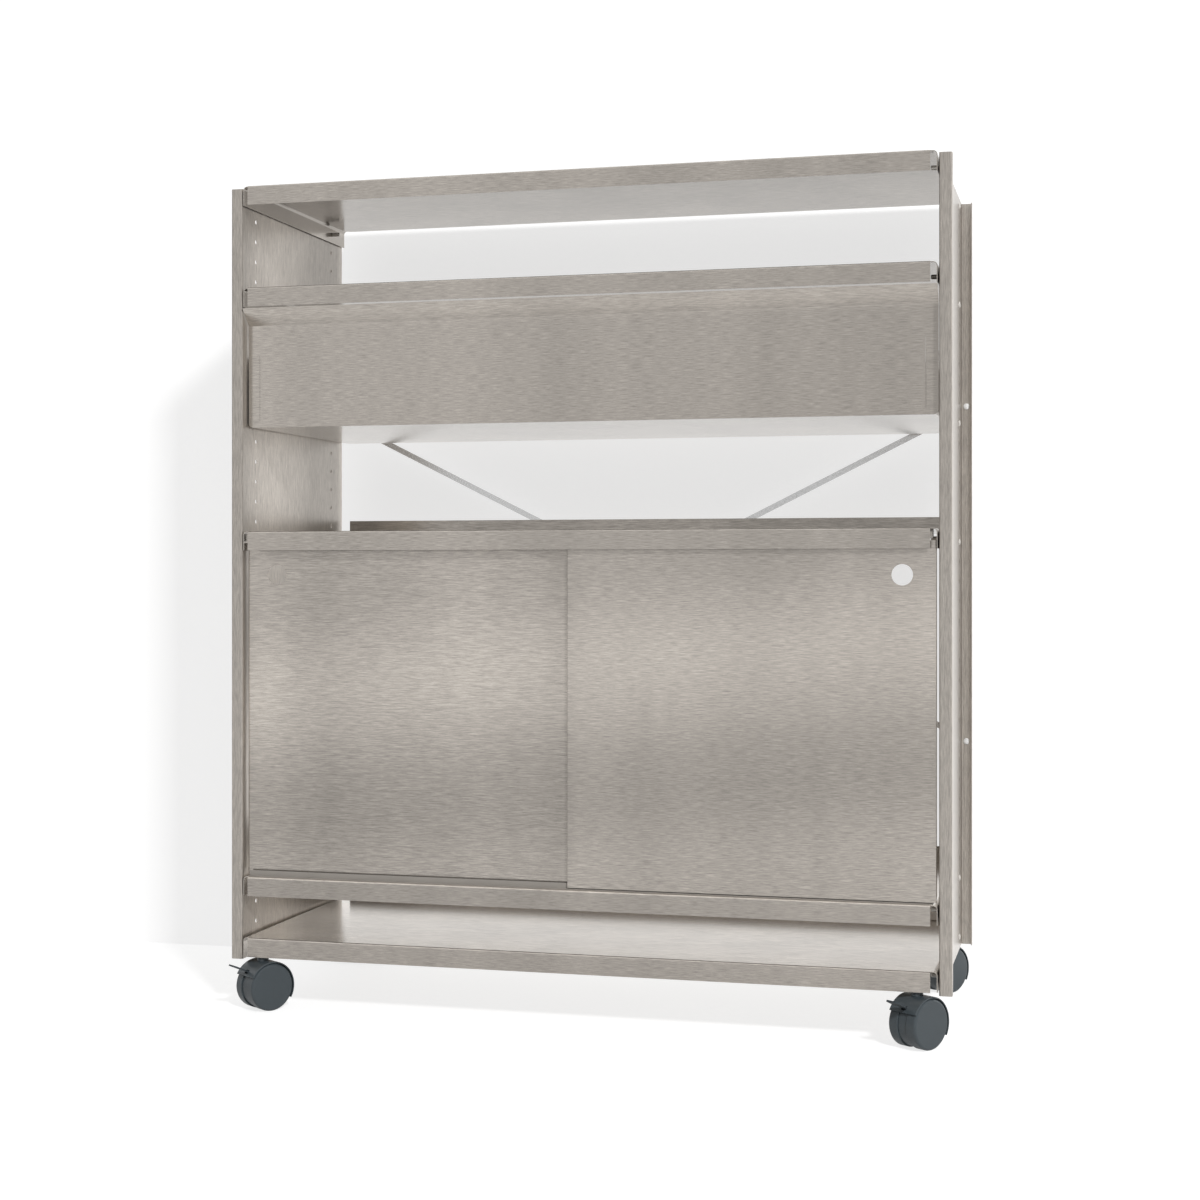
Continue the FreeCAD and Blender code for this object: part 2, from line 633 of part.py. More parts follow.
def make_drawer_front():
    """The drawer's front: a plate whose top strip leans out, with rounded lower corners and two slots."""
    body = new_body("drawer_front")
    sheet = size["tray_sheet"]
    rise = size["strip_height"]
    lean = size["strip_lean"]
    length = root(rise * rise + lean * lean)
    top = tray_top(size["row_upper"]) - size["tray_lip"] - size["front_top_gap"]
    crease = top - rise
    edge = FRONT_FACE - lean
    corners = [
        (FRONT_FACE, CARCASS_FLOOR),
        (FRONT_BACK, CARCASS_FLOOR),
        (FRONT_BACK, crease + sheet * (length - rise) / lean),
        (edge + sheet * length / rise, top),
        (edge, top),
        (FRONT_FACE, crease),
    ]
    add(body, "Plate", "YZ_Plane", draw_outline, corners, -TRAY_HALF, TRAY_HALF)
    round_edges(body, "CreaseFront", "YZ_Plane", [corners[5]], size["strip_bend"])
    round_edges(body, "CreaseBack", "YZ_Plane", [corners[2]], size["strip_bend"] + sheet)
    ends = [(sign * TRAY_HALF, CARCASS_FLOOR) for sign in (-1, 1)]
    round_edges(body, "LowerCorners", "XZ_Plane", ends, size["front_corner"])
    low, high = tab_range()
    play = size["tab_play"]
    for name, side in (("LeftSlot", -1), ("RightSlot", 1)):
        near = side * (BOX_HALF - sheet - play)
        far = side * (BOX_HALF + play)
        slot = [(near, low - play), (far, low - play), (far, high + play), (near, high + play)]
        cut(body, name, "XZ_Plane", draw_outline, slot, FRONT_FACE - sheet, FRONT_BACK + sheet)


def door_face(name):
    """Front face of a door: the right one runs in the front track, the left one behind it."""
    face = size["door_setback"] - HALF_DEPTH
    return face if name == "right" else face + size["door_step"]


def track_middle(name):
    """Middle of a door's tracks, halfway through the depth behind its sheet."""
    return door_face(name) + (size["tray_sheet"] + size["door_depth"] - size["glide_back"]) / 2


DOOR_LOW = LOWER_TOP + size["door_floor_gap"]
DOOR_HIGH = MIDDLE_TOP - size["door_top_gap"]
DOOR_OUTER = TRAY_INSIDE - size["door_side_gap"]
DOOR_CENTRE = (DOOR_OUTER - size["door_overlap"] / 2) / 2
RIB_TOP = LOWER_TOP + size["track_sheet"] + size["rib_height"]


def make_door(name, side):
    """A sliding door: sheet with both upright edges folded back and a round finger hole."""
    body = new_body(f"door_{name}")
    sheet = size["tray_sheet"]
    face = door_face(name)
    back = face + size["door_depth"]
    outer = side * DOOR_OUTER
    lap = -side * size["door_overlap"] / 2
    corners = [
        (lap, face),
        (outer, face),
        (outer, back),
        (outer - side * sheet, back),
        (outer - side * sheet, face + sheet),
        (lap + side * sheet, face + sheet),
        (lap + side * sheet, back),
        (lap, back),
    ]
    add(body, "Sheet", "XY_Plane", draw_outline, corners, DOOR_LOW, DOOR_HIGH)
    round_edges(body, "Edges", "XY_Plane", corners[0:2], size["door_bend"])
    round_edges(body, "Insides", "XY_Plane", corners[4:6], size["door_bend"] - sheet)
    clear = RIB_TOP + size["fold_gap"]
    bend = face + size["door_bend"]
    relief = [(bend, DOOR_LOW), (back, DOOR_LOW), (back, clear), (bend, clear)]
    cut(body, "FoldRelief", "YZ_Plane", draw_outline, relief, -TRAY_HALF, TRAY_HALF)
    finger = side * (HALF_INNER - size["finger_inset"])
    hole = [(finger, LOWER_TOP + size["finger_height"], size["finger_hole"])]
    cut(body, "FingerHole", "XZ_Plane", draw_circles, hole, face - sheet, face + 2 * sheet)


def make_glides(name, side):
    """A door's four glides: two shoes that straddle a rib below, two tongues in a channel above."""
    near = door_face(name) + size["tray_sheet"]
    far = door_face(name) + size["door_depth"] - size["glide_back"]
    middle = track_middle(name)
    groove = size["track_sheet"] / 2 + size["glide_play"]
    roof = RIB_TOP + size["glide_lift"]
    shoe_top = DOOR_LOW + size["glide_height"]
    shoe = [
        (near, DOOR_LOW),
        (middle - groove, DOOR_LOW),
        (middle - groove, roof),
        (middle + groove, roof),
        (middle + groove, DOOR_LOW),
        (far, DOOR_LOW),
        (far, shoe_top),
        (near, shoe_top),
    ]
    tongue = size["tongue"] / 2
    tip = DOOR_HIGH + size["tongue_rise"]
    guide = [
        (near, DOOR_HIGH - size["glide_height"]),
        (far, DOOR_HIGH - size["glide_height"]),
        (far, DOOR_HIGH),
        (middle + tongue, DOOR_HIGH),
        (middle + tongue, tip),
        (middle - tongue, tip),
        (middle - tongue, DOOR_HIGH),
        (near, DOOR_HIGH),
    ]
    ends = [side * (DOOR_OUTER - size["glide_inset"] - size["glide_length"])]
    ends.append(ends[0] + side * size["glide_length"])
    low, high = sorted(ends, key=lambda place: place.number)
    members = []
    for kind, corners in (("shoe", shoe), ("guide", guide)):
        body = new_body(f"door_{name}_{kind}", subpart=False)
        add(body, "Block", "YZ_Plane", draw_outline, corners, low, high)
        members += [body, mirrored(body, "X", side * DOOR_CENTRE)]
    group(f"door_{name}_glides", members)


def make_tracks():
    """The door tracks: a strip with two ribs on the lower tray, a double channel under the middle tray."""
    wall = size["track_sheet"]
    half = TRAY_HALF - size["end_bend"] - size["track_end"]
    front, rear = track_middle("right"), track_middle("left")
    base = LOWER_TOP + wall
    corners = [(front - size["track_margin"], base), (front - size["track_margin"], LOWER_TOP)]
    corners += [(rear + size["track_margin"], LOWER_TOP), (rear + size["track_margin"], base)]
    for middle in (rear, front):
        corners += [(middle + wall / 2, base), (middle + wall / 2, RIB_TOP)]
        corners += [(middle - wall / 2, RIB_TOP), (middle - wall / 2, base)]
    body = new_body("door_track_lower")
    add(body, "Strip", "YZ_Plane", draw_outline, corners, -half, half)

    ceiling = MIDDLE_TOP - size["tray_sheet"]
    base = ceiling - wall
    mouth = base - size["channel_depth"]
    inside = size["tongue"] / 2 + size["glide_play"]
    corners = [(rear + inside + wall, ceiling), (front - inside - wall, ceiling)]
    for middle in (front, rear):
        if middle is rear:
            corners.append((middle - inside - wall, base))
        corners += [(middle - inside - wall, mouth), (middle - inside, mouth), (middle - inside, base)]
        corners += [(middle + inside, base), (middle + inside, mouth), (middle + inside + wall, mouth)]
        if middle is front:
            corners.append((middle + inside + wall, base))
    body = new_body("door_track_upper")
    add(body, "Channels", "YZ_Plane", draw_outline, corners, -half, half)


def make_brace(label, face, lift):
    """A flat bar with round ends and two bolt holes, laid slantwise behind the panels."""
    body = new_body(label)
    half = BRACE_LENGTH / 2
    end = half + size["brace_width"] / 2
    edge = size["brace_width"] / 2
    corners = [(end, -edge), (end, edge), (-end, edge), (-end, -edge)]
    add(body, "Bar", "XZ_Plane", draw_outline, corners, ZERO, size["brace_sheet"])
    round_edges(body, "Ends", "XZ_Plane", corners, edge * 0.98)
    hole = size["bolt_diameter"] + 2 * size["bolt_play"]
    ends = [(half, ZERO, hole), (-half, ZERO, hole)]
    cut(body, "Holes", "XZ_Plane", draw_circles, ends, -HALF_DEPTH, HALF_DEPTH)
    angle = slope(size["brace_span"], 2 * BRACE_X)
    set_place(body, y=face, z=PANEL_MIDDLE, turn=angle, axis=Vector(0, -lift, 0))


def make_brace_fasteners():
    """Bolts through the panels' rear flanges, with a sleeve before and a nut behind each bar's end."""
    high = PANEL_MIDDLE + size["brace_span"] / 2
    seat = HALF_DEPTH - size["panel_sheet"]
    head = seat - size["bolt_head_height"]
    shank = size["bolt_diameter"] / 2
    end = SECOND_BAR + size["brace_sheet"] + size["nut_height"] + size["bolt_end"]
    body = new_body("brace_bolt_first", subpart=False)
    corners = [
        (head, ZERO),
        (head, size["bolt_head"] / 2 - size["bolt_chamfer"]),
        (head + size["bolt_chamfer"], size["bolt_head"] / 2),
        (seat, size["bolt_head"] / 2),
        (seat, shank),
        (end, shank),
        (end, ZERO),
    ]
    turn(body, "Bolt", "YZ_Plane", corners, "H_Axis")
    set_place(body, x=BRACE_X, z=high)
    other = mirrored(body, "X")
    group("brace_bolts", [body, other, mirrored(body, "Z", PANEL_MIDDLE), mirrored(other, "Z", PANEL_MIDDLE)])

    bore = shank + size["bolt_play"]
    sleeves = []
    nuts = []
    for name, side, bar in (("rising", 1, FIRST_BAR), ("falling", -1, SECOND_BAR)):
        sleeve = new_body(f"brace_sleeve_{name}", subpart=False)
        ring = [
            (HALF_DEPTH, bore),
            (bar, bore),
            (bar, size["sleeve_diameter"] / 2),
            (HALF_DEPTH, size["sleeve_diameter"] / 2),
        ]
        turn(sleeve, "Sleeve", "YZ_Plane", ring, "H_Axis")
        nut = new_body(f"brace_nut_{name}", subpart=False)
        apothem = size["nut_width"] / 2
        radius = apothem / root(as_size(3)) * 2
        upper = [(radius, ZERO), (radius / 2, apothem), (-radius / 2, apothem)]
        hexagon = upper + [(-u, -v) for u, v in upper]
        face = bar + size["brace_sheet"]
        add(nut, "Nut", "XZ_Plane", draw_outline, hexagon, face, face + size["nut_height"])
        cut(nut, "Bore", "XZ_Plane", draw_circles, [(ZERO, ZERO, 2 * bore)], face, face + size["nut_height"])
        for body, members in ((sleeve, sleeves), (nut, nuts)):
            set_place(body, x=side * BRACE_X, z=high)
            members += [body, mirrored(mirrored(body, "X"), "Z", PANEL_MIDDLE)]
    group("brace_sleeves", sleeves)
    group("brace_nuts", nuts)


# Heights in a castor, and places along its width
AXLE_HEIGHT = size["wheel_diameter"] / 2
BUSH_TOP = tray_top(ZERO) - size["tray_sheet"]
BUSH_LOW = BUSH_TOP - size["bush_length"]
NECK_TOP = BUSH_LOW - size["collar_height"] - size["swivel_gap"]
STEM_LOW = NECK_TOP - size["stem_depth"]
STEM_X = HALF_INNER - size["stem_inset"]
STEM_Y = HALF_DEPTH - size["stem_setback"]
WEB_HALF = size["web_width"] / 2
WHEEL_NEAR = WEB_HALF + size["wheel_gap"]
WHEEL_FAR = size["castor_width"] / 2
HOOD_INSIDE = AXLE_HEIGHT + size["hood_gap"]
HOOD_OUTSIDE = HOOD_INSIDE + size["hood_sheet"]
PIVOT_X = size["castor_trail"] - size["pivot_reach"] * cosine(size["pivot_angle"])
PIVOT_Z = AXLE_HEIGHT + size["pivot_reach"] * sine(size["pivot_angle"])


def make_bushes():
    """Four threaded bushes under the bottom tray that take the castors' stems."""
    body = new_body("castor_bush_first", subpart=False)
    bore = size["stem_diameter"] / 2 + size["axle_play"]
    ring = [
        (bore, BUSH_LOW),
        (size["collar_diameter"] / 2, BUSH_LOW),
        (size["collar_diameter"] / 2, BUSH_TOP),
        (bore, BUSH_TOP),
    ]
    turn(body, "Bush", "XZ_Plane", ring, "V_Axis")
    set_place(body, x=-STEM_X, y=-STEM_Y)
    at_four_corners("castor_bushes", body)


def along_lever(angle, length, offset):
    """A point along a lever at an angle, from its pivot, and square to it."""
    rise, run = sine(angle), cosine(angle)
    return (PIVOT_X - length * run + offset * rise, PIVOT_Z + length * rise + offset * run)


def make_housing(body, braked):
    """A castor's housing: hood over both wheels, round web between them, neck and, with a brake, a slot."""
    trail = size["castor_trail"]
    axle = (trail, AXLE_HEIGHT)
    hood_half = size["hood_width"] / 2
    add(body, "Hood", "XZ_Plane", draw_circles, [(*axle, 2 * HOOD_OUTSIDE)], -hood_half, hood_half)
    round_rims(body, "HoodRims", HOOD_OUTSIDE, (-hood_half, hood_half), size["hood_edge"])
    hollow = [(*axle, 2 * HOOD_INSIDE)]
    cut(body, "HoodHollow", "XZ_Plane", draw_circles, hollow, -hood_half, hood_half)
    middle = HOOD_INSIDE + HOOD_OUTSIDE
    add(body, "Root", "XZ_Plane", draw_circles, [(*axle, middle)], -WEB_HALF, WEB_HALF)

    # The hood ends at two planes through the axle, in front above it and at the rear below it.
    reach = 2 * HOOD_OUTSIDE
    heights = (size["hood_front"], size["hood_rear"])
    front, rear = (edge / root(HOOD_OUTSIDE * HOOD_OUTSIDE - edge * edge) for edge in heights)
    below = [
        axle,
        (trail + reach, AXLE_HEIGHT - reach * rear),
        (trail + reach, AXLE_HEIGHT - reach),
        (trail - reach, AXLE_HEIGHT - reach),
        (trail - reach, AXLE_HEIGHT + reach * front),
    ]
    cut(body, "HoodEdges", "XZ_Plane", draw_outline, below, -hood_half, hood_half)
    web = size["wheel_diameter"] - 2 * size["web_inset"]
    add(body, "Web", "XZ_Plane", draw_circles, [(*axle, web)], -WEB_HALF, WEB_HALF)
    neck = [(ZERO, ZERO, size["collar_diameter"])]
    add(body, "Neck", "XY_Plane", draw_circles, neck, AXLE_HEIGHT + middle / 2, NECK_TOP)
    if braked:
        clear = size["barrel_radius"] + size["lever_clear"]
        pressed = size["lever_slope"] - size["lever_press"]
        length = size["lever_root"] + size["lever_blade"]
        slot = [
            along_lever(size["lever_slope"], -clear, clear),
            along_lever(size["lever_slope"], length, clear),
            along_lever(pressed, length, -clear),
            along_lever(pressed, -clear, -clear),
        ]
        side = size["lever_width"] / 2 + size["lever_play"]
        cut(body, "LeverSlot", "XZ_Plane", draw_outline, slot, -side, side)
        pin = [(PIVOT_X, PIVOT_Z, 2 * size["pivot_radius"] + 2 * size["axle_play"])]
        cut(body, "PivotHoles", "XZ_Plane", draw_circles, pin, -WEB_HALF, WEB_HALF)
    bore = [(ZERO, ZERO, size["stem_diameter"] + 2 * size["axle_play"])]
    cut(body, "StemBore", "XY_Plane", draw_circles, bore, STEM_LOW - size["swivel_gap"], NECK_TOP)
    bore = [(*axle, size["axle_diameter"] + 2 * size["axle_play"])]
    cut(body, "AxleBore", "XZ_Plane", draw_circles, bore, -WEB_HALF, WEB_HALF)


def make_stem(body):
    """A castor's stem: pin in the housing's neck, collar, and stud in the bush."""
    radius = size["stem_diameter"] / 2
    collar = size["collar_diameter"] / 2
    under = BUSH_LOW - size["collar_height"]
    top = BUSH_TOP - size["stud_gap"]
    corners = [
        (ZERO, STEM_LOW),
        (radius, STEM_LOW),
        (radius, under),
        (collar, under),
        (collar, BUSH_LOW),
        (radius, BUSH_LOW),
        (radius, top),
        (ZERO, top),
    ]
    turn(body, "Stem", "XZ_Plane", corners, "V_Axis")


def make_wheel(body, side):
    """A wheel with a closed outer face and a blind bore for the axle's end."""
    radius = size["wheel_diameter"] / 2
    bore = size["axle_diameter"] / 2 + size["wheel_play"]
    near = side * WHEEL_NEAR
    far = side * WHEEL_FAR
    floor = side * (WHEEL_FAR - size["axle_cover"])
    corners = [(bore, near), (radius, near), (radius, far), (ZERO, far), (ZERO, floor), (bore, floor)]
    turn(body, "Wheel", "XY_Plane", corners, "V_Axis")
    round_rims(body, "OuterEdge", radius, [far], size["wheel_edge"])
    round_rims(body, "InnerEdge", radius, [near], size["wheel_rim"])


def make_lever(body):
    """A brake lever: barrel on the pivot, narrow root in its slot, wide blade with round corners."""
    half = size["lever_width"] / 2
    slope_up = size["lever_slope"]
    thick = size["lever_sheet"] / 2
    end = size["lever_root"] + size["lever_blade"]
    blade = size["blade_width"] / 2
    for name, start, width in (("Root", ZERO, half), ("Blade", size["lever_root"], blade)):
        corners = [along_lever(slope_up, *place) for place in (
            (start, -thick), (start, thick), (end, thick), (end, -thick))]
        add(body, name, "XZ_Plane", draw_outline, corners, -width, width)
    barrel = [(PIVOT_X, PIVOT_Z, 2 * size["barrel_radius"])]
    add(body, "Barrel", "XZ_Plane", draw_circles, barrel, -half, half)
    pin = [(PIVOT_X, PIVOT_Z, 2 * size["pivot_radius"] + 2 * size["axle_play"])]
    cut(body, "PinHole", "XZ_Plane", draw_circles, pin, -half, half)

    base = body.Tip
    names = []
    for index, edge in enumerate(base.Shape.Edges, 1):
        middle = edge.CenterOfMass
        across = edge.Vertexes[-1].Point.y - edge.Vertexes[0].Point.y
        short = abs(across) < 1e-6 and edge.Length < 2 * thick.number + 1e-6
        if short and abs(abs(middle.y) - blade.number) < 1e-6:
            names.append(f"Edge{index}")
    corner = body.newObject("PartDesign::Fillet", "BladeCorners")
    corner.Base = (base, names)
    corner.setExpression("Radius", size["blade_corner"].formula)
    doc.recompute()


def make_castor(name, x, y, braked):
    """A twin-wheel castor on its bush, turned to the common heading."""
    heading = size["castor_heading"]
    here = {"x": x, "y": y, "turn": heading}
    stem = new_body(f"castor_{name}_stem")
    make_stem(stem)
    set_place(stem, **here)
    housing = new_body(f"castor_{name}_housing")
    make_housing(housing, braked)
    set_place(housing, **here)
    end = WHEEL_FAR - size["axle_cover"]
    axle = new_body(f"castor_{name}_axle")
    circle = [(size["castor_trail"], AXLE_HEIGHT, size["axle_diameter"])]
    add(axle, "Axle", "XZ_Plane", draw_circles, circle, -end, end)
    set_place(axle, **here)
    for place, side in (("right", -1), ("left", 1)):
        wheel = new_body(f"castor_{name}_wheel_{place}")
        make_wheel(wheel, side)
        trail = size["castor_trail"]
        set_place(wheel, x + trail * cosine(heading), y + trail * sine(heading), AXLE_HEIGHT, heading)
    if braked:
        lever = new_body(f"castor_{name}_lever")
        make_lever(lever)
        set_place(lever, **here)
        pin = new_body(f"castor_{name}_pivot")
        rod = [(PIVOT_X, PIVOT_Z, 2 * size["pivot_radius"])]
        add(pin, "Pin", "XZ_Plane", draw_circles, rod, -WEB_HALF, WEB_HALF)
        set_place(pin, **here)


def check_document():
    """Stops before anything is written if an object failed or a sub-part has no sound solid."""
    doc.recompute()
    for item in doc.Objects:
        if "Invalid" in item.State or "Error" in item.State:
            raise RuntimeError(f"{item.Label} failed: {item.State}")
    for item in SUBPARTS:
        if item.Shape.isNull() or not item.Shape.isValid() or not item.Shape.Solids:
            raise RuntimeError(f"{item.Label} has no sound solid")


def write_parts():
    """Writes each sub-part to its own file."""
    os.makedirs("parts", exist_ok=True)
    for item in SUBPARTS:
        item.Shape.exportStep(os.path.join("parts", f"{item.Label}.step"))
        box = item.Shape.BoundBox
        spans = " ".join(f"{low:.1f}..{high:.1f}" for low, high in (
            (box.XMin, box.XMax), (box.YMin, box.YMax), (box.ZMin, box.ZMax)))
        print(f"{item.Label}: {len(item.Shape.Solids)} solids, {item.Shape.Volume:.0f} mm3, {spans}")


make_panel("side_panel_left", -1)
make_panel("side_panel_right", 1)
LEVELS = (
    ("bottom", ZERO),
    ("lower", size["row_lower"]),
    ("middle", size["row_middle"]),
    ("upper", size["row_upper"]),
    ("top", ROW_TOP),
)
for level, row in LEVELS:
    make_tray(f"shelf_{level}", row)
    make_pins(f"pins_{level}", row)
make_carcass()
make_pins("pins_drawer", size["row_drawer"])
for side_name, sign in (("left", -1), ("right", 1)):
    make_rails(side_name, sign)
    make_door(side_name, sign)
    make_glides(side_name, sign)
make_box()
make_drawer_front()
make_tracks()
make_brace("brace_bar_rising", FIRST_BAR, 1)
make_brace("brace_bar_falling", SECOND_BAR, -1)
make_brace_fasteners()
make_bushes()
make_castor("front_left", -STEM_X, -STEM_Y, True)
make_castor("front_right", STEM_X, -STEM_Y, True)
make_castor("rear_left", -STEM_X, STEM_Y, False)
make_castor("rear_right", STEM_X, STEM_Y, False)
check_document()
write_parts()
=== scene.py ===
import math

import bpy
import numpy as np
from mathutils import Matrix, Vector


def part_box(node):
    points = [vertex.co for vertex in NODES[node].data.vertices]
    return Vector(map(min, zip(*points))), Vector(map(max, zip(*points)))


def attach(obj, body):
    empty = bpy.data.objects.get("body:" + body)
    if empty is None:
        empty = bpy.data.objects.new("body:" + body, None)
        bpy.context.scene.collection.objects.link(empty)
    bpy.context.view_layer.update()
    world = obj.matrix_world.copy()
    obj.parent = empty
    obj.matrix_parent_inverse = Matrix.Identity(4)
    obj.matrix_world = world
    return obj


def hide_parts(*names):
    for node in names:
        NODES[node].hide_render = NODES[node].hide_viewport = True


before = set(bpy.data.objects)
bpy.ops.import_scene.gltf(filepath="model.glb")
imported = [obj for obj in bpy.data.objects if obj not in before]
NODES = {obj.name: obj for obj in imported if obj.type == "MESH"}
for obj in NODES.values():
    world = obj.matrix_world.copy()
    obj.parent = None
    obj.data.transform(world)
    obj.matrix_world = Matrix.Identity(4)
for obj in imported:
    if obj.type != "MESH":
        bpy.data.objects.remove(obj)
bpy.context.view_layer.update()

bl_info = {
    "name": "Highboard finish",
    "version": (1, 0, 0),
    "blender": (4, 5, 0),
    "location": "3D View > Sidebar > Highboard",
    "description": "Finishes, turned fasteners and studio for a sheet steel highboard",
    "category": "Object",
}

MM = 0.001
IMAGE_SIDE = 1200
SHARP_ANGLE = math.radians(32)
X_AXIS, Y_AXIS, Z_AXIS = (1, 0, 0), (0, 1, 0), (0, 0, 1)
BOTH_ENDS = (-1, 1)

CARCASS = "carcass"
CORNERS = ("front_left", "front_right", "rear_left", "rear_right")
LEVELS = ("top", "upper", "drawer", "middle", "lower", "bottom")
RUNNER_NODES = (
    "runner_left_fixed", "runner_left_moving", "runner_right_fixed", "runner_right_moving")
GLIDE_NODES = ("door_left_glides", "door_right_glides", "door_track_lower", "door_track_upper")
LEVER_NODES = ("castor_front_left_lever", "castor_front_right_lever")
CASTOR_METAL = ("_stem", "_axle", "_pivot")

# Bands drawn into the sheets' colour: the direction across a band, its middle, half width and gain in
# tone. Most of them are painted light and painted shade; the first line below is the slope of the
# painted reflection across the doors.
PAINTED_REFLECTION_SLOPE = (-0.1, 0, 1)
# Painted light: the uprights are lighter towards their front and along their rear flange.
PANEL_PAINTED_LIGHT = (
    (Y_AXIS, -0.08, 0.17, 0.6),
    (Y_AXIS, 0.209, 0.03, 0.36),
)
# Painted light: the trays are lighter towards their left ends.
TRAY_PAINTED_LIGHT = (
    (X_AXIS, -0.45, 0.35, 0.06),
)
# The top tray also gets painted shade on its flat sheet.
TOP_TRAY_PAINTED_LIGHT_AND_SHADE = (
    *TRAY_PAINTED_LIGHT,
    (Z_AXIS, 1.2964, 0.003, -0.12),
)
# Painted light: the lower tray's flat sheet is lighter.
LOWER_TRAY_PAINTED_LIGHT = (
    (Z_AXIS, 0.2084, 0.003, 0.5),
)
# Painted light: the bottom tray is lighter towards its rear and on its flat sheet.
BOTTOM_TRAY_PAINTED_LIGHT = (
    (Y_AXIS, 0.22, 0.32, 0.35),
    (Z_AXIS, 0.1124, 0.003, 0.18),
)
# Painted light: the drawer front's slanted top strip and its left part are lighter.
FRONT_PAINTED_LIGHT = (
    (Z_AXIS, 1.098, 0.028, 0.3),
    (X_AXIS, -0.45, 0.4, 0.12),
)
# On the doors a painted reflection lays a light band across them, and painted shade a dark band below
# it, both sloping. Painted shade darkens their right-hand side. The three narrow upright stripes are
# the sheet's own darker tone.
DOOR_PAINTED_LIGHT_AND_STRIPES = (
    (PAINTED_REFLECTION_SLOPE, 0.55, 0.15, 0.33),
    (PAINTED_REFLECTION_SLOPE, 0.345, 0.12, -0.16),
    (X_AXIS, 0.3, 0.4, -0.1),
    (X_AXIS, -0.41, 0.035, -0.06),
    (X_AXIS, -0.03, 0.035, -0.06),
    (X_AXIS, 0.37, 0.035, -0.06),
)
# Brushed sheets: end of the finish's name, axis of the brushing, roughness, tone, bands, CAD nodes.
# The tone is painted light: a brightness for each part, lighter or darker as light falls on it.
SHEETS = (
    ("upright", "Z", 0.31, 0.93, PANEL_PAINTED_LIGHT, ("side_panel_left", "side_panel_right")),
    ("trays", "X", 0.19, 1.0, TRAY_PAINTED_LIGHT, (
        "shelf_upper", "shelf_middle", "drawer_carcass", "drawer_box")),
    ("top_tray", "X", 0.19, 1.0, TOP_TRAY_PAINTED_LIGHT_AND_SHADE, ("shelf_top",)),
    ("lower_tray", "X", 0.19, 0.92, LOWER_TRAY_PAINTED_LIGHT, ("shelf_lower",)),
    ("bottom_tray", "X", 0.19, 1.0, BOTTOM_TRAY_PAINTED_LIGHT, ("shelf_bottom",)),
    ("front", "X", 0.19, 1.0, FRONT_PAINTED_LIGHT, ("drawer_front",)),
    ("doors", "X", 0.22, 1.1, DOOR_PAINTED_LIGHT_AND_STRIPES, ("door_left", "door_right")),
)

# Noise keeps mostly between these two values.
NOISE_LOW, NOISE_HIGH = 0.3, 0.7
# Brushed sheet: share of metal, how far scratches move the roughness up and down, and their depth.
SHEET_METALLIC = 0.82
SHEET_SPREAD = 0.04
SCRATCH_DEPTH = 0.2 * MM
# Cloudy bands stand upright on every sheet, some 130 mm wide and seven times as tall.
CLOUD_SCALE = (7.5, 7.5, 1.1)
CLOUD_DARK, CLOUD_LIGHT = 0.9, 1.06
# Plated steel: size of its crystals, drawn coarse enough to show, their tones and roughness.
CRYSTAL_SIZE = 2 * MM
CRYSTAL_DARK, CRYSTAL_LIGHT = 0.86, 1.18
PLATED_ROUGHNESS = 0.35
PLATED_SPREAD = 0.05
# Moulded plastic: size and depth of its spark-eroded grain, size of its worn patches, their tones and
# gloss.
EROSION_SIZE = 0.6 * MM
EROSION_DEPTH = 0.1 * MM
WEAR_SIZE = 30 * MM
WEAR_DARK, WEAR_LIGHT = 0.9, 1.16
WEAR_GLOSSY, WEAR_MATT = 0.06, 0.08
PLASTIC_IOR = 1.5

# Plug pin: radius of shank and head, length, chamfer of the tip, step and height of the head, the
# head's rim with its start, rise, rounding and rows, and the dome's rise, rows, and the shares of the
# head's radius where it starts and ends.
PIN_SHANK = 3.45 * MM
PIN_HEAD = 5 * MM
PIN_LENGTH = 19.5 * MM
PIN_CHAMFER = 1 * MM
PIN_STEP = 0.05 * MM
PIN_HEAD_HEIGHT = 2 * MM
PIN_RIM_START = 0.75 * MM
PIN_RIM_RISE = 0.35 * MM
PIN_RIM_ROUND = 0.4 * MM
PIN_RIM_ROWS = 6
PIN_DOME = 0.9 * MM
PIN_DOME_ROWS = 8
PIN_DOME_START, PIN_DOME_END = 0.92, 0.06
PIN_STEPS = 40

# Brace bolt: radius of head and shank, height of the head, and the dome's rise, fullness, rows, and the
# share of the head's radius where it starts.
BOLT_HEAD = 5.25 * MM
BOLT_SHANK = 3 * MM
BOLT_HEAD_HEIGHT = 3.5 * MM
BOLT_DOME = 2.6 * MM
BOLT_FULLNESS = 0.96
BOLT_DOME_ROWS = 12
BOLT_DOME_START = 0.04
BOLT_STEPS = 48
# Its thread: start and end before the bolt's tip, pitch, depth, run-in, distance of rows, gap to the
# plain shank, and the chamfered tip with its start and two radii.
THREAD_START = 6 * MM
THREAD_END = 0.6 * MM
THREAD_PITCH = 1 * MM
THREAD_DEPTH = 0.5 * MM
THREAD_RUN_IN = 0.8 * MM
THREAD_ROW = 0.125 * MM
THREAD_GAP = 0.1 * MM
TIP_START = 0.55 * MM
TIP_RADII = (2.6 * MM, 2.3 * MM)

# Nut: half width across flats, thickness, radius and sink of its bore's mouth, radius of its bore,
# radius of its round faces, and the rows and slope of the cone that cuts its corners.
NUT_HALF = 5 * MM
NUT_THICK = 5 * MM
NUT_MOUTH = 3.4 * MM
NUT_SINK = 0.3 * MM
NUT_BORE = 3.1 * MM
NUT_FACE = 4.85 * MM
NUT_ROWS = (0, 0.2, 0.4, 0.6)
NUT_SLOPE = 1.73
NUT_STEPS = 72

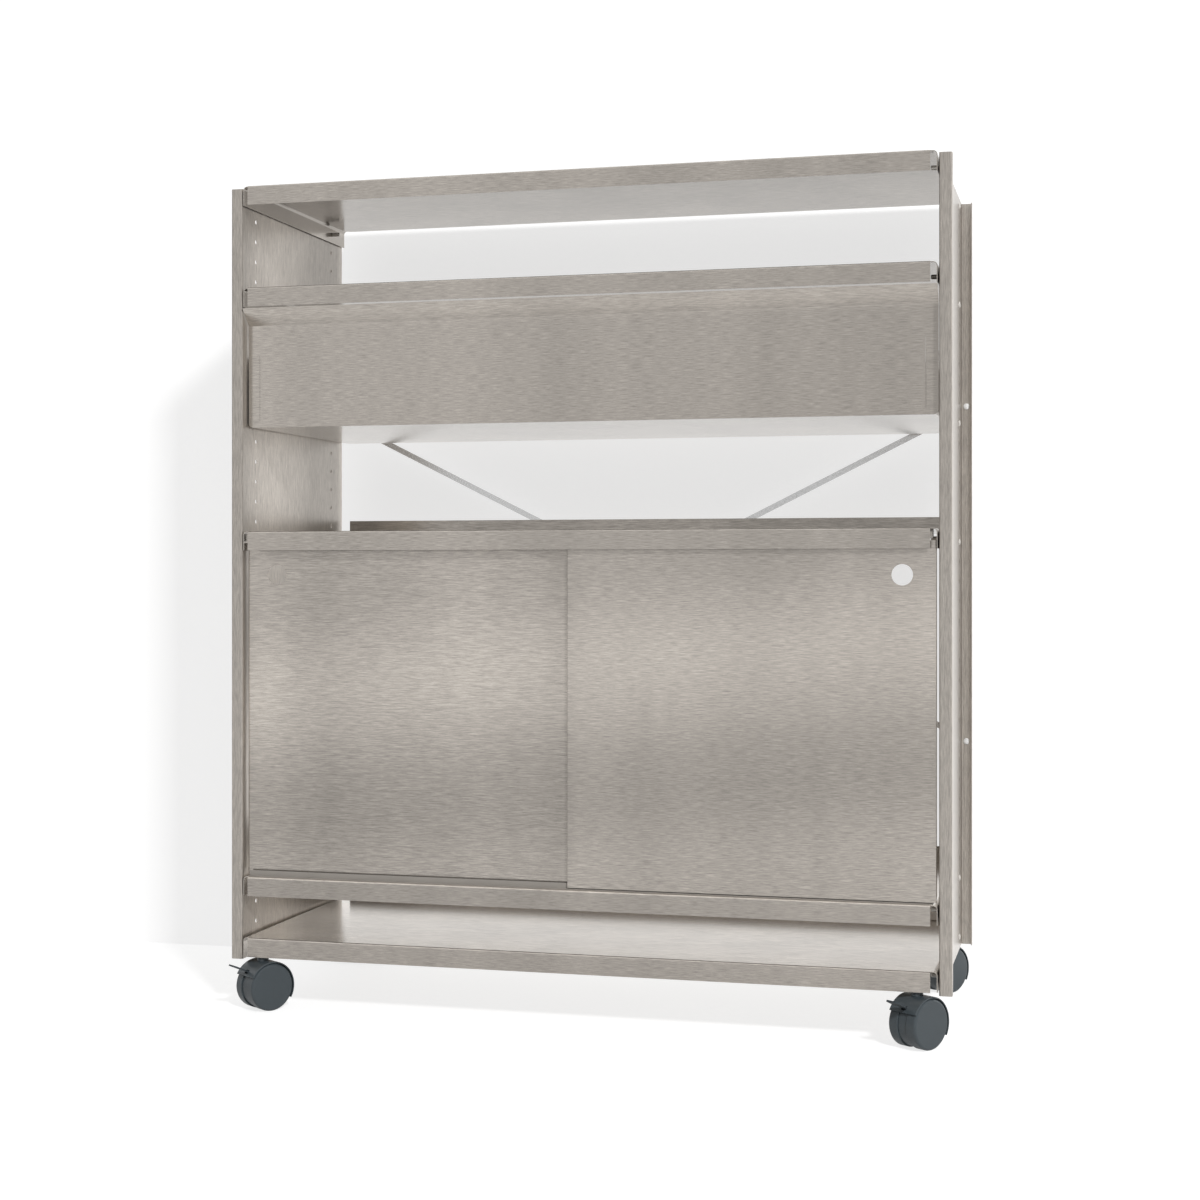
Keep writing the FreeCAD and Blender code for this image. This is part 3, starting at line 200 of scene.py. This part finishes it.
# Papers: strength of their own white to the camera, in metal, and as light for matt surfaces.
FLOOR_PAPER = (0.76, 0.385, 0.3)
BACKDROP_PAPER = (0.7, 1.0, 0.4)
STAGE_HALF = 8
BACKDROP_TOP = 6
# What metal finds on the paper falls off between two heights, to this share.
FALLOFF_START, FALLOFF_END = 0.2, 1.25
FALLOFF_SHARE = 0.75
# The painted shade behind the doors: its middle's height, half its height, half its width, the share
# of that width where it starts to fade, and its darkest tone.
SHADE_MIDDLE = 0.58
SHADE_HALF = 0.24
SHADE_SIDE = 0.54
SHADE_FADE = 0.8
SHADE_TONE = 0.45
PULP_SIZE = 80 * MM

# How the studio's brightness in metal changes: axis, two places along it, what each of them adds.
STUDIO_SIDES = (
    ("X", -0.8, -0.48, 0.45, 0.78),
    ("X", -0.42, -0.05, 0.0, -0.16),
    ("X", 0.4, 0.9, 0.0, 0.28),
    ("Z", 0.25, 0.8, 0.0, 0.3),
)
# Its strength to the camera, and as light for matt surfaces.
STUDIO_WHITE = 1.0
STUDIO_LIGHT = 0.3
# The key lamp: its place, what it faces, its side and its power.
KEY_PLACE = (3.2, -5.0, 4.2)
KEY_TARGET = (0, 0, 0.5)
KEY_SIZE = 0.7
KEY_POWER = 395


class HighboardFinish(bpy.types.PropertyGroup):
    """Colours and grain of the finishes."""

    steel_light: bpy.props.StringProperty(
        name="Steel light", description="sRGB hex of the brushed steel's bright scratches",
        default="#cfc8bf")
    steel_dark: bpy.props.StringProperty(
        name="Steel dark", description="sRGB hex of the brushed steel between its scratches",
        default="#99938d")
    plastic: bpy.props.StringProperty(
        name="Castor plastic", description="sRGB hex of the castors' moulded plastic",
        default="#3d4448")
    grain_length: bpy.props.FloatProperty(
        name="Scratch length", description="Length of a brushed scratch", default=20 * MM,
        unit="LENGTH")
    grain_width: bpy.props.FloatProperty(
        name="Scratch width", description="Width of a brushed scratch as drawn", default=0.9 * MM,
        unit="LENGTH")


class HighboardStage(bpy.types.PropertyGroup):
    """Camera and backdrop of the studio."""

    camera_place: bpy.props.FloatVectorProperty(
        name="Camera", description="Place of the camera's lens", default=(0.787, -3.085, 0.688),
        subtype="XYZ")
    heading: bpy.props.FloatProperty(
        name="Heading", description="Turn of the camera to the left of straight ahead",
        default=math.radians(14.57), subtype="ANGLE")
    focal_px: bpy.props.FloatProperty(
        name="Focal length", description="Focal length in pixels of the square image",
        default=1974.9)
    horizon_px: bpy.props.FloatProperty(
        name="Horizon", description="Horizon's height above the image's middle, in pixels",
        default=27.3)
    wall_gap: bpy.props.FloatProperty(
        name="Wall", description="Backdrop behind the object's middle", default=0.262,
        unit="LENGTH")


def finish():
    return bpy.context.scene.highboard_finish


def linear(code):
    """An sRGB hex colour as linear red, green, blue and alpha."""
    srgb = np.array([int(code[place:place + 2], 16) for place in (1, 3, 5)]) / 255
    value = np.where(srgb <= 0.04045, srgb / 12.92, ((srgb + 0.055) / 1.055) ** 2.4)
    return (*value.tolist(), 1.0)


def toned(code, gain):
    """A hex colour made darker or lighter, as a linear colour."""
    return (*(min(1.0, value * gain) for value in linear(code)[:3]), 1.0)


def add_node(owner, kind, inputs=None, **settings):
    """A shader node with its settings; each input takes a value or another node's output."""
    tree = owner.node_tree
    node = tree.nodes.new(kind)
    for name, value in settings.items():
        setattr(node, name, value)
    for name, value in (inputs or {}).items():
        if isinstance(value, bpy.types.NodeSocket):
            tree.links.new(value, node.inputs[name])
        else:
            node.inputs[name].default_value = value
    return node


def new_material(name):
    """An empty material with an output for its shader."""
    material = bpy.data.materials.new(name)
    material.use_nodes = True
    material.node_tree.nodes.clear()
    output = material.node_tree.nodes.new("ShaderNodeOutputMaterial")
    return material, output


def light_and_tone_band(material, place, direction, middle, half, gain):
    """A soft band across a direction: full gain in its middle, and none from its half width on."""
    across = add_node(material, "ShaderNodeVectorMath", {
        0: place, 1: direction}, operation="DOT_PRODUCT")
    beside = add_node(material, "ShaderNodeMath", {
        0: across.outputs["Value"], 1: middle}, operation="SUBTRACT")
    away = add_node(material, "ShaderNodeMath", {0: beside.outputs[0]}, operation="ABSOLUTE")
    band = add_node(material, "ShaderNodeMapRange", {
        "Value": away.outputs[0], "From Max": half, "To Min": gain, "To Max": 0.0},
        interpolation_type="SMOOTHSTEP")
    return band.outputs[0]


def brushed_steel(name, along, roughness, level, light_and_tone_bands):
    """Stainless sheet, dry brushed along one axis: short soft scratches, broad clouds, painted light
    bands.
    """
    material, output = new_material(name)
    own = finish()
    place = add_node(material, "ShaderNodeTexCoord").outputs["Object"]
    across, lengthwise = 1 / own.grain_width, 1 / own.grain_length
    grain_scale = [lengthwise if axis == along else across for axis in "XYZ"]
    grain_place = add_node(material, "ShaderNodeMapping", {"Vector": place, "Scale": grain_scale})
    grain = add_node(material, "ShaderNodeTexNoise", {
        "Vector": grain_place.outputs[0], "Scale": 1.0, "Detail": 3.0, "Roughness": 0.75})
    cloud_place = add_node(material, "ShaderNodeMapping", {"Vector": place, "Scale": CLOUD_SCALE})
    cloud = add_node(material, "ShaderNodeTexNoise", {
        "Vector": cloud_place.outputs[0], "Scale": 1.0, "Detail": 2.0, "Roughness": 0.45})
    scratch = add_node(material, "ShaderNodeMapRange", {
        "Value": grain.outputs["Fac"], "From Min": NOISE_LOW, "From Max": NOISE_HIGH})
    tone = add_node(material, "ShaderNodeMix", {
        "Factor": scratch.outputs[0], "A": linear(own.steel_dark), "B": linear(own.steel_light)},
        data_type="RGBA")
    clouded = add_node(material, "ShaderNodeMapRange", {
        "Value": cloud.outputs["Fac"], "From Min": NOISE_LOW, "From Max": NOISE_HIGH,
        "To Min": CLOUD_DARK, "To Max": CLOUD_LIGHT})
    # Soft bands, lighter or darker than the sheet's plain tone, are painted light and painted shade;
    # the narrow upright stripes on the doors are the sheet's own tone. The level they start from is a
    # painted brightness for each part.
    painted_light_and_tone = level
    for row in light_and_tone_bands:
        band = light_and_tone_band(material, place, *row)
        painted_light_and_tone = add_node(material, "ShaderNodeMath", {0: painted_light_and_tone, 1: band}, operation="ADD").outputs[0]
    shade = add_node(material, "ShaderNodeMath", {
        0: clouded.outputs[0], 1: painted_light_and_tone}, operation="MULTIPLY")
    colour = add_node(material, "ShaderNodeVectorMath", {
        0: tone.outputs["Result"], "Scale": shade.outputs[0]}, operation="SCALE")
    rough = add_node(material, "ShaderNodeMapRange", {
        "Value": scratch.outputs[0],
        "To Min": roughness + SHEET_SPREAD, "To Max": roughness - SHEET_SPREAD})
    bump = add_node(material, "ShaderNodeBump", {
        "Height": grain.outputs["Fac"], "Strength": 0.08, "Distance": SCRATCH_DEPTH})
    shader = add_node(material, "ShaderNodeBsdfPrincipled", {
        "Base Color": colour.outputs[0], "Metallic": SHEET_METALLIC,
        "Roughness": rough.outputs[0], "Normal": bump.outputs[0]})
    material.node_tree.links.new(shader.outputs[0], output.inputs["Surface"])
    return material


def drawn_steel(name, code, metallic, roughness=PLATED_ROUGHNESS):
    """Plated, turned or galvanised steel: an even grey with fine crystals that break up its gloss."""
    material, output = new_material(name)
    place = add_node(material, "ShaderNodeTexCoord").outputs["Object"]
    speck = add_node(material, "ShaderNodeTexNoise", {
        "Vector": place, "Scale": 1 / CRYSTAL_SIZE, "Detail": 2.0, "Roughness": 0.5})
    colour = add_node(material, "ShaderNodeMix", {
        "Factor": speck.outputs["Fac"],
        "A": toned(code, CRYSTAL_DARK), "B": toned(code, CRYSTAL_LIGHT)}, data_type="RGBA")
    rough = add_node(material, "ShaderNodeMapRange", {
        "Value": speck.outputs["Fac"], "From Min": NOISE_LOW, "From Max": NOISE_HIGH,
        "To Min": roughness + PLATED_SPREAD, "To Max": roughness - PLATED_SPREAD})
    shader = add_node(material, "ShaderNodeBsdfPrincipled", {
        "Base Color": colour.outputs["Result"], "Metallic": metallic,
        "Roughness": rough.outputs[0]})
    material.node_tree.links.new(shader.outputs[0], output.inputs["Surface"])
    return material


def moulded_plastic(name, code, roughness):
    """Moulded polyamide or acetal: matt, with a fine spark-eroded grain that scatters the gloss."""
    material, output = new_material(name)
    place = add_node(material, "ShaderNodeTexCoord").outputs["Object"]
    grain = add_node(material, "ShaderNodeTexNoise", {
        "Vector": place, "Scale": 1 / EROSION_SIZE, "Detail": 2.0, "Roughness": 0.6})
    wear = add_node(material, "ShaderNodeTexNoise", {
        "Vector": place, "Scale": 1 / WEAR_SIZE, "Detail": 4.0, "Roughness": 0.6})
    colour = add_node(material, "ShaderNodeMix", {
        "Factor": wear.outputs["Fac"],
        "A": toned(code, WEAR_DARK), "B": toned(code, WEAR_LIGHT)}, data_type="RGBA")
    rough = add_node(material, "ShaderNodeMapRange", {
        "Value": wear.outputs["Fac"], "From Min": NOISE_LOW, "From Max": NOISE_HIGH,
        "To Min": roughness - WEAR_GLOSSY, "To Max": roughness + WEAR_MATT})
    bump = add_node(material, "ShaderNodeBump", {
        "Height": grain.outputs["Fac"], "Strength": 0.1, "Distance": EROSION_DEPTH})
    shader = add_node(material, "ShaderNodeBsdfPrincipled", {
        "Base Color": colour.outputs["Result"], "Roughness": rough.outputs[0],
        "IOR": PLASTIC_IOR, "Normal": bump.outputs[0]})
    material.node_tree.links.new(shader.outputs[0], output.inputs["Surface"])
    return material


def paint(names, material):
    """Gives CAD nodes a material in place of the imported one."""
    for name in names:
        slots = NODES[name].data.materials
        slots.clear()
        slots.append(material)


def turned(height, radius, closed=False):
    """A turned surface along its own X, over the profile s and the turn t.

    A point is (height(s), radius(s, t) cos t, radius(s, t) sin t). The rows of the radius grid run
    along the profile and its columns round the axis. A closed profile joins its last row to the
    first; an open one gets a flat cap at each end.
    """
    rows, steps = radius.shape
    turn = np.linspace(0, 2 * np.pi, steps, endpoint=False)
    along = np.broadcast_to(height[:, None], radius.shape)
    points = np.stack([along, radius * np.cos(turn), radius * np.sin(turn)], axis=-1).reshape(-1, 3)
    row = np.arange(rows if closed else rows - 1)[:, None]
    column = np.arange(steps)[None, :]
    after = (row + 1) % rows
    beside = (column + 1) % steps
    quads = np.stack([
        row * steps + column, row * steps + beside, after * steps + beside, after * steps + column],
        axis=-1)
    faces = quads.reshape(-1, 4).tolist()
    if not closed:
        ring = np.arange(steps)
        faces += [ring[::-1].tolist(), (ring + (rows - 1) * steps).tolist()]
    return points, faces


def copies(points, faces, places):
    """Copies of one surface: each place is a centre and the directions that its three axes point to."""
    centres = np.array([centre for centre, _ in places])
    ways = np.array([axes for _, axes in places], float)
    moved = np.einsum("pi,nij->npj", points, ways) + centres[:, None, :]
    # A mirrored copy has its faces turned round, so that they still point outwards.
    turned_over = np.linalg.det(ways) < 0
    listed = [
        [number + index * len(points) for number in (face[::-1] if over else face)]
        for index, over in enumerate(turned_over) for face in faces]
    return moved.reshape(-1, 3), listed


def new_piece(name, points, faces, material, slot, body, nodes):
    """A finished mesh object that rides on a body and stands for the CAD nodes given."""
    mesh = bpy.data.meshes.new(name)
    mesh.from_pydata(points.tolist(), [], faces)
    mesh.shade_smooth()
    mesh.set_sharp_from_angle(angle=SHARP_ANGLE)
    mesh.materials.append(material)
    piece = bpy.data.objects.new(name, mesh)
    bpy.context.scene.collection.objects.link(piece)
    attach(piece, body)
    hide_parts(*nodes)


def hexagon(half_width, steps):
    """Radius of a hexagon round its middle, with a column on each of its six corners."""
    turn = np.linspace(0, 2 * np.pi, steps, endpoint=False)
    return half_width / np.cos((turn % (np.pi / 3)) - np.pi / 6)


def pin_surface(head_top):
    """A plug pin: flat chamfered tip, shank, and a low domed head with a rounded rim."""
    tip = head_top - PIN_LENGTH
    seat = head_top - PIN_HEAD_HEIGHT
    rim = np.linspace(0, np.pi / 2, PIN_RIM_ROWS)
    dome = np.linspace(PIN_DOME_START, PIN_DOME_END, PIN_DOME_ROWS)
    height = np.concatenate([
        [tip, tip + PIN_CHAMFER, seat - PIN_STEP, seat],
        seat + PIN_RIM_START + PIN_RIM_RISE * np.sin(rim),
        head_top - PIN_DOME * dome ** 2])
    radius = np.concatenate([
        [PIN_SHANK - PIN_CHAMFER, PIN_SHANK, PIN_SHANK, PIN_HEAD],
        PIN_HEAD - PIN_RIM_ROUND * (1 - np.cos(rim)),
        PIN_HEAD * dome])
    return turned(height, np.repeat(radius[:, None], PIN_STEPS, axis=1))


def bolt_surface(head_top, end):
    """A mushroom-head bolt: domed head, plain shank, and a thread cut into its last millimetres."""
    flat = np.ones(BOLT_STEPS)
    dome = np.linspace(BOLT_DOME_START, 1, BOLT_DOME_ROWS)[:, None]
    seat = head_top + BOLT_HEAD_HEIGHT
    turns = np.linspace(0, 1, BOLT_STEPS, endpoint=False)
    cut = np.arange(end - THREAD_START, end - THREAD_END, THREAD_ROW)
    # The thread is a triangle wave along the shank that climbs once round for each pitch.
    wave = np.abs(((cut[:, None] / THREAD_PITCH - turns) % 1) * 2 - 1)
    fade = np.clip((cut - cut[0]) / THREAD_RUN_IN, 0, 1)[:, None]
    height = np.concatenate([
        head_top + BOLT_DOME * (1 - np.sqrt(1 - BOLT_FULLNESS * dome[:, 0] ** 2)),
        [seat, seat, cut[0] - THREAD_GAP],
        cut,
        [end - TIP_START, end]])
    radius = np.concatenate([
        BOLT_HEAD * dome * flat,
        [BOLT_HEAD * flat, BOLT_SHANK * flat, BOLT_SHANK * flat],
        BOLT_SHANK - THREAD_DEPTH * wave * fade,
        [tip * flat for tip in TIP_RADII]])
    return turned(height, radius)


def nut_surface(low):
    """A hexagon nut as a closed ring, its corners cut by a shallow cone at both faces."""
    flat = np.ones(NUT_STEPS)
    rise = np.array(NUT_ROWS) * MM
    cone = np.minimum(hexagon(NUT_HALF, NUT_STEPS), (NUT_FACE + NUT_SLOPE * rise)[:, None])
    height = np.concatenate([
        [NUT_SINK, 0], rise, NUT_THICK - rise[::-1], [NUT_THICK, NUT_THICK - NUT_SINK]])
    radius = np.concatenate([
        [NUT_BORE * flat, NUT_MOUTH * flat], cone, cone[::-1], [NUT_MOUTH * flat, NUT_BORE * flat]])
    return turned(low + height, radius, closed=True)


class HIGHBOARD_OT_sheets(bpy.types.Operator):
    """Finish the folded sheets"""
    bl_idname = "highboard.sheets"
    bl_label = "Folded sheets"

    def execute(self, context):
        for name, along, roughness, level, light_and_tone_bands, nodes in SHEETS:
            paint(nodes, brushed_steel(f"stainless_brushed_{name}", along, roughness, level, light_and_tone_bands))
        return {"FINISHED"}


class HIGHBOARD_OT_pins(bpy.types.Operator):
    """Turn the plug pins with domed heads"""
    bl_idname = "highboard.pins"
    bl_label = "Plug pins"

    def execute(self, context):
        material = drawn_steel("steel_turned_pins", "#d6d2cc", 0.45)
        for level in LEVELS:
            node = f"pins_{level}"
            low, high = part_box(node)
            column = high.y - PIN_HEAD
            pins = pin_surface(high.x)
            places = [
                ((0, front * column, (low.z + high.z) / 2), ((side, 0, 0), Y_AXIS, Z_AXIS))
                for side in BOTH_ENDS for front in BOTH_ENDS]
            new_piece(f"{node}_turned", *copies(*pins, places), material, "pin", CARCASS, [node])
        return {"FINISHED"}


class HIGHBOARD_OT_brace(bpy.types.Operator):
    """Finish the brace and turn its bolts and nuts"""
    bl_idname = "highboard.brace"
    bl_label = "Brace"

    def execute(self, context):
        zinc = drawn_steel("steel_zinc_plated_fasteners", "#b9b9b8", 0.9)
        bright = drawn_steel("steel_bright_zinc_bolts", "#f6f6f4", 0.4)
        bars = drawn_steel("steel_galvanised_flat_bar", "#f2f3f4", 0.9, 0.25)
        paint(("brace_sleeves",), zinc)
        paint(("brace_bar_rising", "brace_bar_falling"), bars)
        along_y = (Y_AXIS, Z_AXIS, X_AXIS)
        low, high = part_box("brace_bolts")
        spots = {
            (side, level): ((high.x - BOLT_HEAD) * side, 0, z)
            for side in BOTH_ENDS
            for level, z in zip(BOTH_ENDS, (low.z + BOLT_HEAD, high.z - BOLT_HEAD))}
        bolts = bolt_surface(low.y, high.y)
        places = [(spot, along_y) for spot in spots.values()]
        new_piece(
            "brace_bolts_domed", *copies(*bolts, places), bright, "steel", CARCASS, ["brace_bolts"])
        # The bar that rises to the right lies in front, so its two nuts sit one bar further in.
        nut_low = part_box("brace_nuts")[0].y
        nut_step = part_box("brace_bar_falling")[1].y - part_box("brace_bar_rising")[1].y
        places = [
            ((spot[0], 0 if side == level else nut_step, spot[2]), along_y)
            for (side, level), spot in spots.items()]
        nuts = nut_surface(nut_low)
        new_piece(
            "brace_nuts_hexagon", *copies(*nuts, places), zinc, "steel", CARCASS, ["brace_nuts"])
        return {"FINISHED"}


class HIGHBOARD_OT_fittings(bpy.types.Operator):
    """Finish the drawer runners, door glides and tracks"""
    bl_idname = "highboard.fittings"
    bl_label = "Fittings"

    def execute(self, context):
        paint(RUNNER_NODES, drawn_steel("steel_zinc_plated_rails", "#aeadab", 0.9))
        paint(GLIDE_NODES, moulded_plastic("acetal_moulded_grey", "#8f8a84", 0.45))
        return {"FINISHED"}


class HIGHBOARD_OT_castors(bpy.types.Operator):
    """Finish the castors"""
    bl_idname = "highboard.castors"
    bl_label = "Castors"

    def execute(self, context):
        plastic = moulded_plastic("polyamide_moulded_slate", finish().plastic, 0.36)
        lever = moulded_plastic("polyamide_moulded_lever", "#343a3e", 0.6)
        steel = drawn_steel("steel_zinc_plated_stems", "#a2a2a2", 0.9)
        paint(("castor_bushes",), steel)
        for corner in CORNERS:
            names = [name for name in NODES if name.startswith(f"castor_{corner}_")]
            metal = [name for name in names if name.endswith(CASTOR_METAL)]
            paint(metal, steel)
            paint([name for name in names if name not in metal], plastic)
        paint(LEVER_NODES, lever)
        return {"FINISHED"}


def stage_plane(name, corners, material):
    """A flat stage surface from its four corners."""
    mesh = bpy.data.meshes.new(name)
    mesh.from_pydata(corners, [], [(0, 1, 2, 3)])
    mesh.materials.append(material)
    plane = bpy.data.objects.new(name, mesh)
    bpy.context.scene.collection.objects.link(plane)
    return plane


def ray_strength(owner, rays, camera, metal, matt):
    """A strength that differs for the camera, for what metal mirrors and for light on matt things."""
    mirrored = add_node(owner, "ShaderNodeMath", {
        0: rays["Is Glossy Ray"], 1: rays["Is Transmission Ray"]}, operation="MAXIMUM")
    plain = add_node(owner, "ShaderNodeMapRange", {
        "Value": mirrored.outputs[0], "To Min": matt, "To Max": metal})
    strength = add_node(owner, "ShaderNodeMapRange", {
        "Value": rays["Is Camera Ray"], "To Min": plain.outputs[0], "To Max": camera})
    return strength.outputs[0]


def backdrop_paper(name, glow, mirrored, bounce):
    """Matt white paper: part of its white is its own, so that the object's shadow on it stays pale.

    The camera sees it with its glow, metal with the mirrored strength, and matt things get its bounce.
    """
    material, output = new_material(name)
    rays = add_node(material, "ShaderNodeLightPath").outputs
    place = add_node(material, "ShaderNodeTexCoord").outputs["Object"]
    ways = add_node(material, "ShaderNodeSeparateXYZ", {"Vector": place}).outputs
    falloff = add_node(material, "ShaderNodeMapRange", {
        "Value": ways["Z"], "From Min": FALLOFF_START, "From Max": FALLOFF_END,
        "To Min": mirrored, "To Max": FALLOFF_SHARE * mirrored})
    # Painted shade: behind the closed doors, the paper that metal mirrors is darker, as in their shade.
    above = add_node(material, "ShaderNodeMath", {0: ways["Z"], 1: SHADE_MIDDLE}, operation="SUBTRACT")
    away = add_node(material, "ShaderNodeMath", {0: above.outputs[0]}, operation="ABSOLUTE")
    side = add_node(material, "ShaderNodeMath", {0: ways["X"]}, operation="ABSOLUTE")
    depth = add_node(material, "ShaderNodeMapRange", {
        "Value": side.outputs[0], "From Min": SHADE_FADE * SHADE_SIDE, "From Max": SHADE_SIDE,
        "To Min": SHADE_TONE, "To Max": 1.0})
    shade = add_node(material, "ShaderNodeMapRange", {
        "Value": away.outputs[0], "From Max": SHADE_HALF, "To Min": depth.outputs[0]},
        interpolation_type="SMOOTHSTEP")
    mirror = add_node(material, "ShaderNodeMath", {
        0: falloff.outputs[0], 1: shade.outputs[0]}, operation="MULTIPLY")
    shine = add_node(material, "ShaderNodeEmission", {
        "Color": linear("#ffffff"),
        "Strength": ray_strength(material, rays, glow, mirror.outputs[0], bounce)})
    # Pulp clouds, too faint to read as anything but paper.
    pulp = add_node(material, "ShaderNodeTexNoise", {
        "Vector": place, "Scale": 1 / PULP_SIZE, "Detail": 2.0})
    tone = add_node(material, "ShaderNodeMix", {
        "Factor": pulp.outputs["Fac"], "A": linear("#a4a4a4"), "B": linear("#a7a7a7")},
        data_type="RGBA")
    matt = add_node(material, "ShaderNodeBsdfDiffuse", {"Color": tone.outputs["Result"]})
    both = add_node(material, "ShaderNodeAddShader", {0: shine.outputs[0], 1: matt.outputs[0]})
    # A view from behind the paper looks through it.
    behind = add_node(material, "ShaderNodeNewGeometry").outputs["Backfacing"]
    through = add_node(material, "ShaderNodeMath", {
        0: behind, 1: rays["Is Camera Ray"]}, operation="MULTIPLY")
    clear = add_node(material, "ShaderNodeBsdfTransparent")
    sheet = add_node(material, "ShaderNodeMixShader", {
        0: through.outputs[0], 1: both.outputs[0], 2: clear.outputs[0]})
    material.node_tree.links.new(sheet.outputs[0], output.inputs["Surface"])
    return material


def area_lamp(name, place, target, size, power):
    """A square soft box at a place, turned to face a target."""
    lamp = bpy.data.lights.new(name, "AREA")
    lamp.shape = "SQUARE"
    lamp.size = size
    lamp.energy = power
    item = bpy.data.objects.new(name, lamp)
    way = np.array(target) - np.array(place)
    flat = math.hypot(way[0], way[1])
    item.rotation_euler = (math.atan2(flat, -way[2]), 0, math.atan2(-way[0], way[1]))
    item.location = place
    bpy.context.scene.collection.objects.link(item)
    return item


def studio_air(name):
    """A studio round the stage: white to the camera, pale grey in metal, and dimmer as a light."""
    world = bpy.data.worlds.new(name)
    world.use_nodes = True
    world.node_tree.nodes.clear()
    rays = add_node(world, "ShaderNodeLightPath").outputs
    # The studio is dark on its far left, and lighter on its right side and overhead.
    way = add_node(world, "ShaderNodeTexCoord").outputs["Generated"]
    ways = add_node(world, "ShaderNodeSeparateXYZ", {"Vector": way}).outputs
    bright = 0.0
    for side, start, end, low, high in STUDIO_SIDES:
        share = add_node(world, "ShaderNodeMapRange", {
            "Value": ways[side], "From Min": start, "From Max": end, "To Min": low, "To Max": high})
        bright = add_node(world, "ShaderNodeMath", {
            0: bright, 1: share.outputs[0]}, operation="ADD").outputs[0]
    air = add_node(world, "ShaderNodeBackground", {
        "Color": linear("#ffffff"),
        "Strength": ray_strength(world, rays, STUDIO_WHITE, bright, STUDIO_LIGHT)})
    output = add_node(world, "ShaderNodeOutputWorld", {"Surface": air.outputs[0]})
    output.is_active_output = True
    return world


class HIGHBOARD_OT_stage(bpy.types.Operator):
    """Set up floor, backdrop, light and camera"""
    bl_idname = "highboard.stage"
    bl_label = "Stage"

    def execute(self, context):
        scene = context.scene
        own = scene.highboard_stage
        wall, half, top = own.wall_gap, STAGE_HALF, BACKDROP_TOP
        ground = backdrop_paper("paper_matt_floor", *FLOOR_PAPER)
        stage_plane(
            "floor", [(-half, -half, 0), (half, -half, 0), (half, half, 0), (-half, half, 0)], ground)
        paper = backdrop_paper("paper_matt_backdrop", *BACKDROP_PAPER)
        backdrop = stage_plane(
            "backdrop", [(-half, wall, 0), (half, wall, 0), (half, wall, top), (-half, wall, top)],
            paper)
        # The floor behind the paper is lit as the rest.
        backdrop.visible_shadow = False

        # The key lamp casts the shadows. Metal doesn't mirror it, only the studio and the papers.
        key = area_lamp("key", KEY_PLACE, KEY_TARGET, KEY_SIZE, KEY_POWER)
        key.visible_glossy = False
        scene.world = studio_air("studio_air")

        camera = bpy.data.cameras.new("camera")
        camera.lens = camera.sensor_width * own.focal_px / IMAGE_SIDE
        camera.shift_y = -own.horizon_px / IMAGE_SIDE
        holder = bpy.data.objects.new("camera", camera)
        holder.location = own.camera_place
        holder.rotation_euler = (math.pi / 2, 0, own.heading)
        scene.collection.objects.link(holder)
        scene.camera = holder
        scene.view_settings.view_transform = "Standard"
        return {"FINISHED"}


class HIGHBOARD_PT_panel(bpy.types.Panel):
    """Lists the finish operators"""
    bl_idname = "HIGHBOARD_PT_panel"
    bl_label = "Highboard"
    bl_space_type = "VIEW_3D"
    bl_region_type = "UI"
    bl_category = "Highboard"

    def draw(self, context):
        for operator in OPERATORS:
            self.layout.operator(operator.bl_idname)


OPERATORS = (
    HIGHBOARD_OT_sheets, HIGHBOARD_OT_pins, HIGHBOARD_OT_brace, HIGHBOARD_OT_fittings,
    HIGHBOARD_OT_castors, HIGHBOARD_OT_stage)
CLASSES = (HighboardFinish, HighboardStage, *OPERATORS, HIGHBOARD_PT_panel)


def register():
    for item in CLASSES:
        bpy.utils.register_class(item)
    bpy.types.Scene.highboard_finish = bpy.props.PointerProperty(type=HighboardFinish)
    bpy.types.Scene.highboard_stage = bpy.props.PointerProperty(type=HighboardStage)


def unregister():
    del bpy.types.Scene.highboard_stage
    del bpy.types.Scene.highboard_finish
    for item in reversed(CLASSES):
        bpy.utils.unregister_class(item)


def main():
    register()
    bpy.ops.highboard.sheets()
    bpy.ops.highboard.pins()
    bpy.ops.highboard.brace()
    bpy.ops.highboard.fittings()
    bpy.ops.highboard.castors()
    bpy.ops.highboard.stage()


if __name__ == "__main__":
    main()
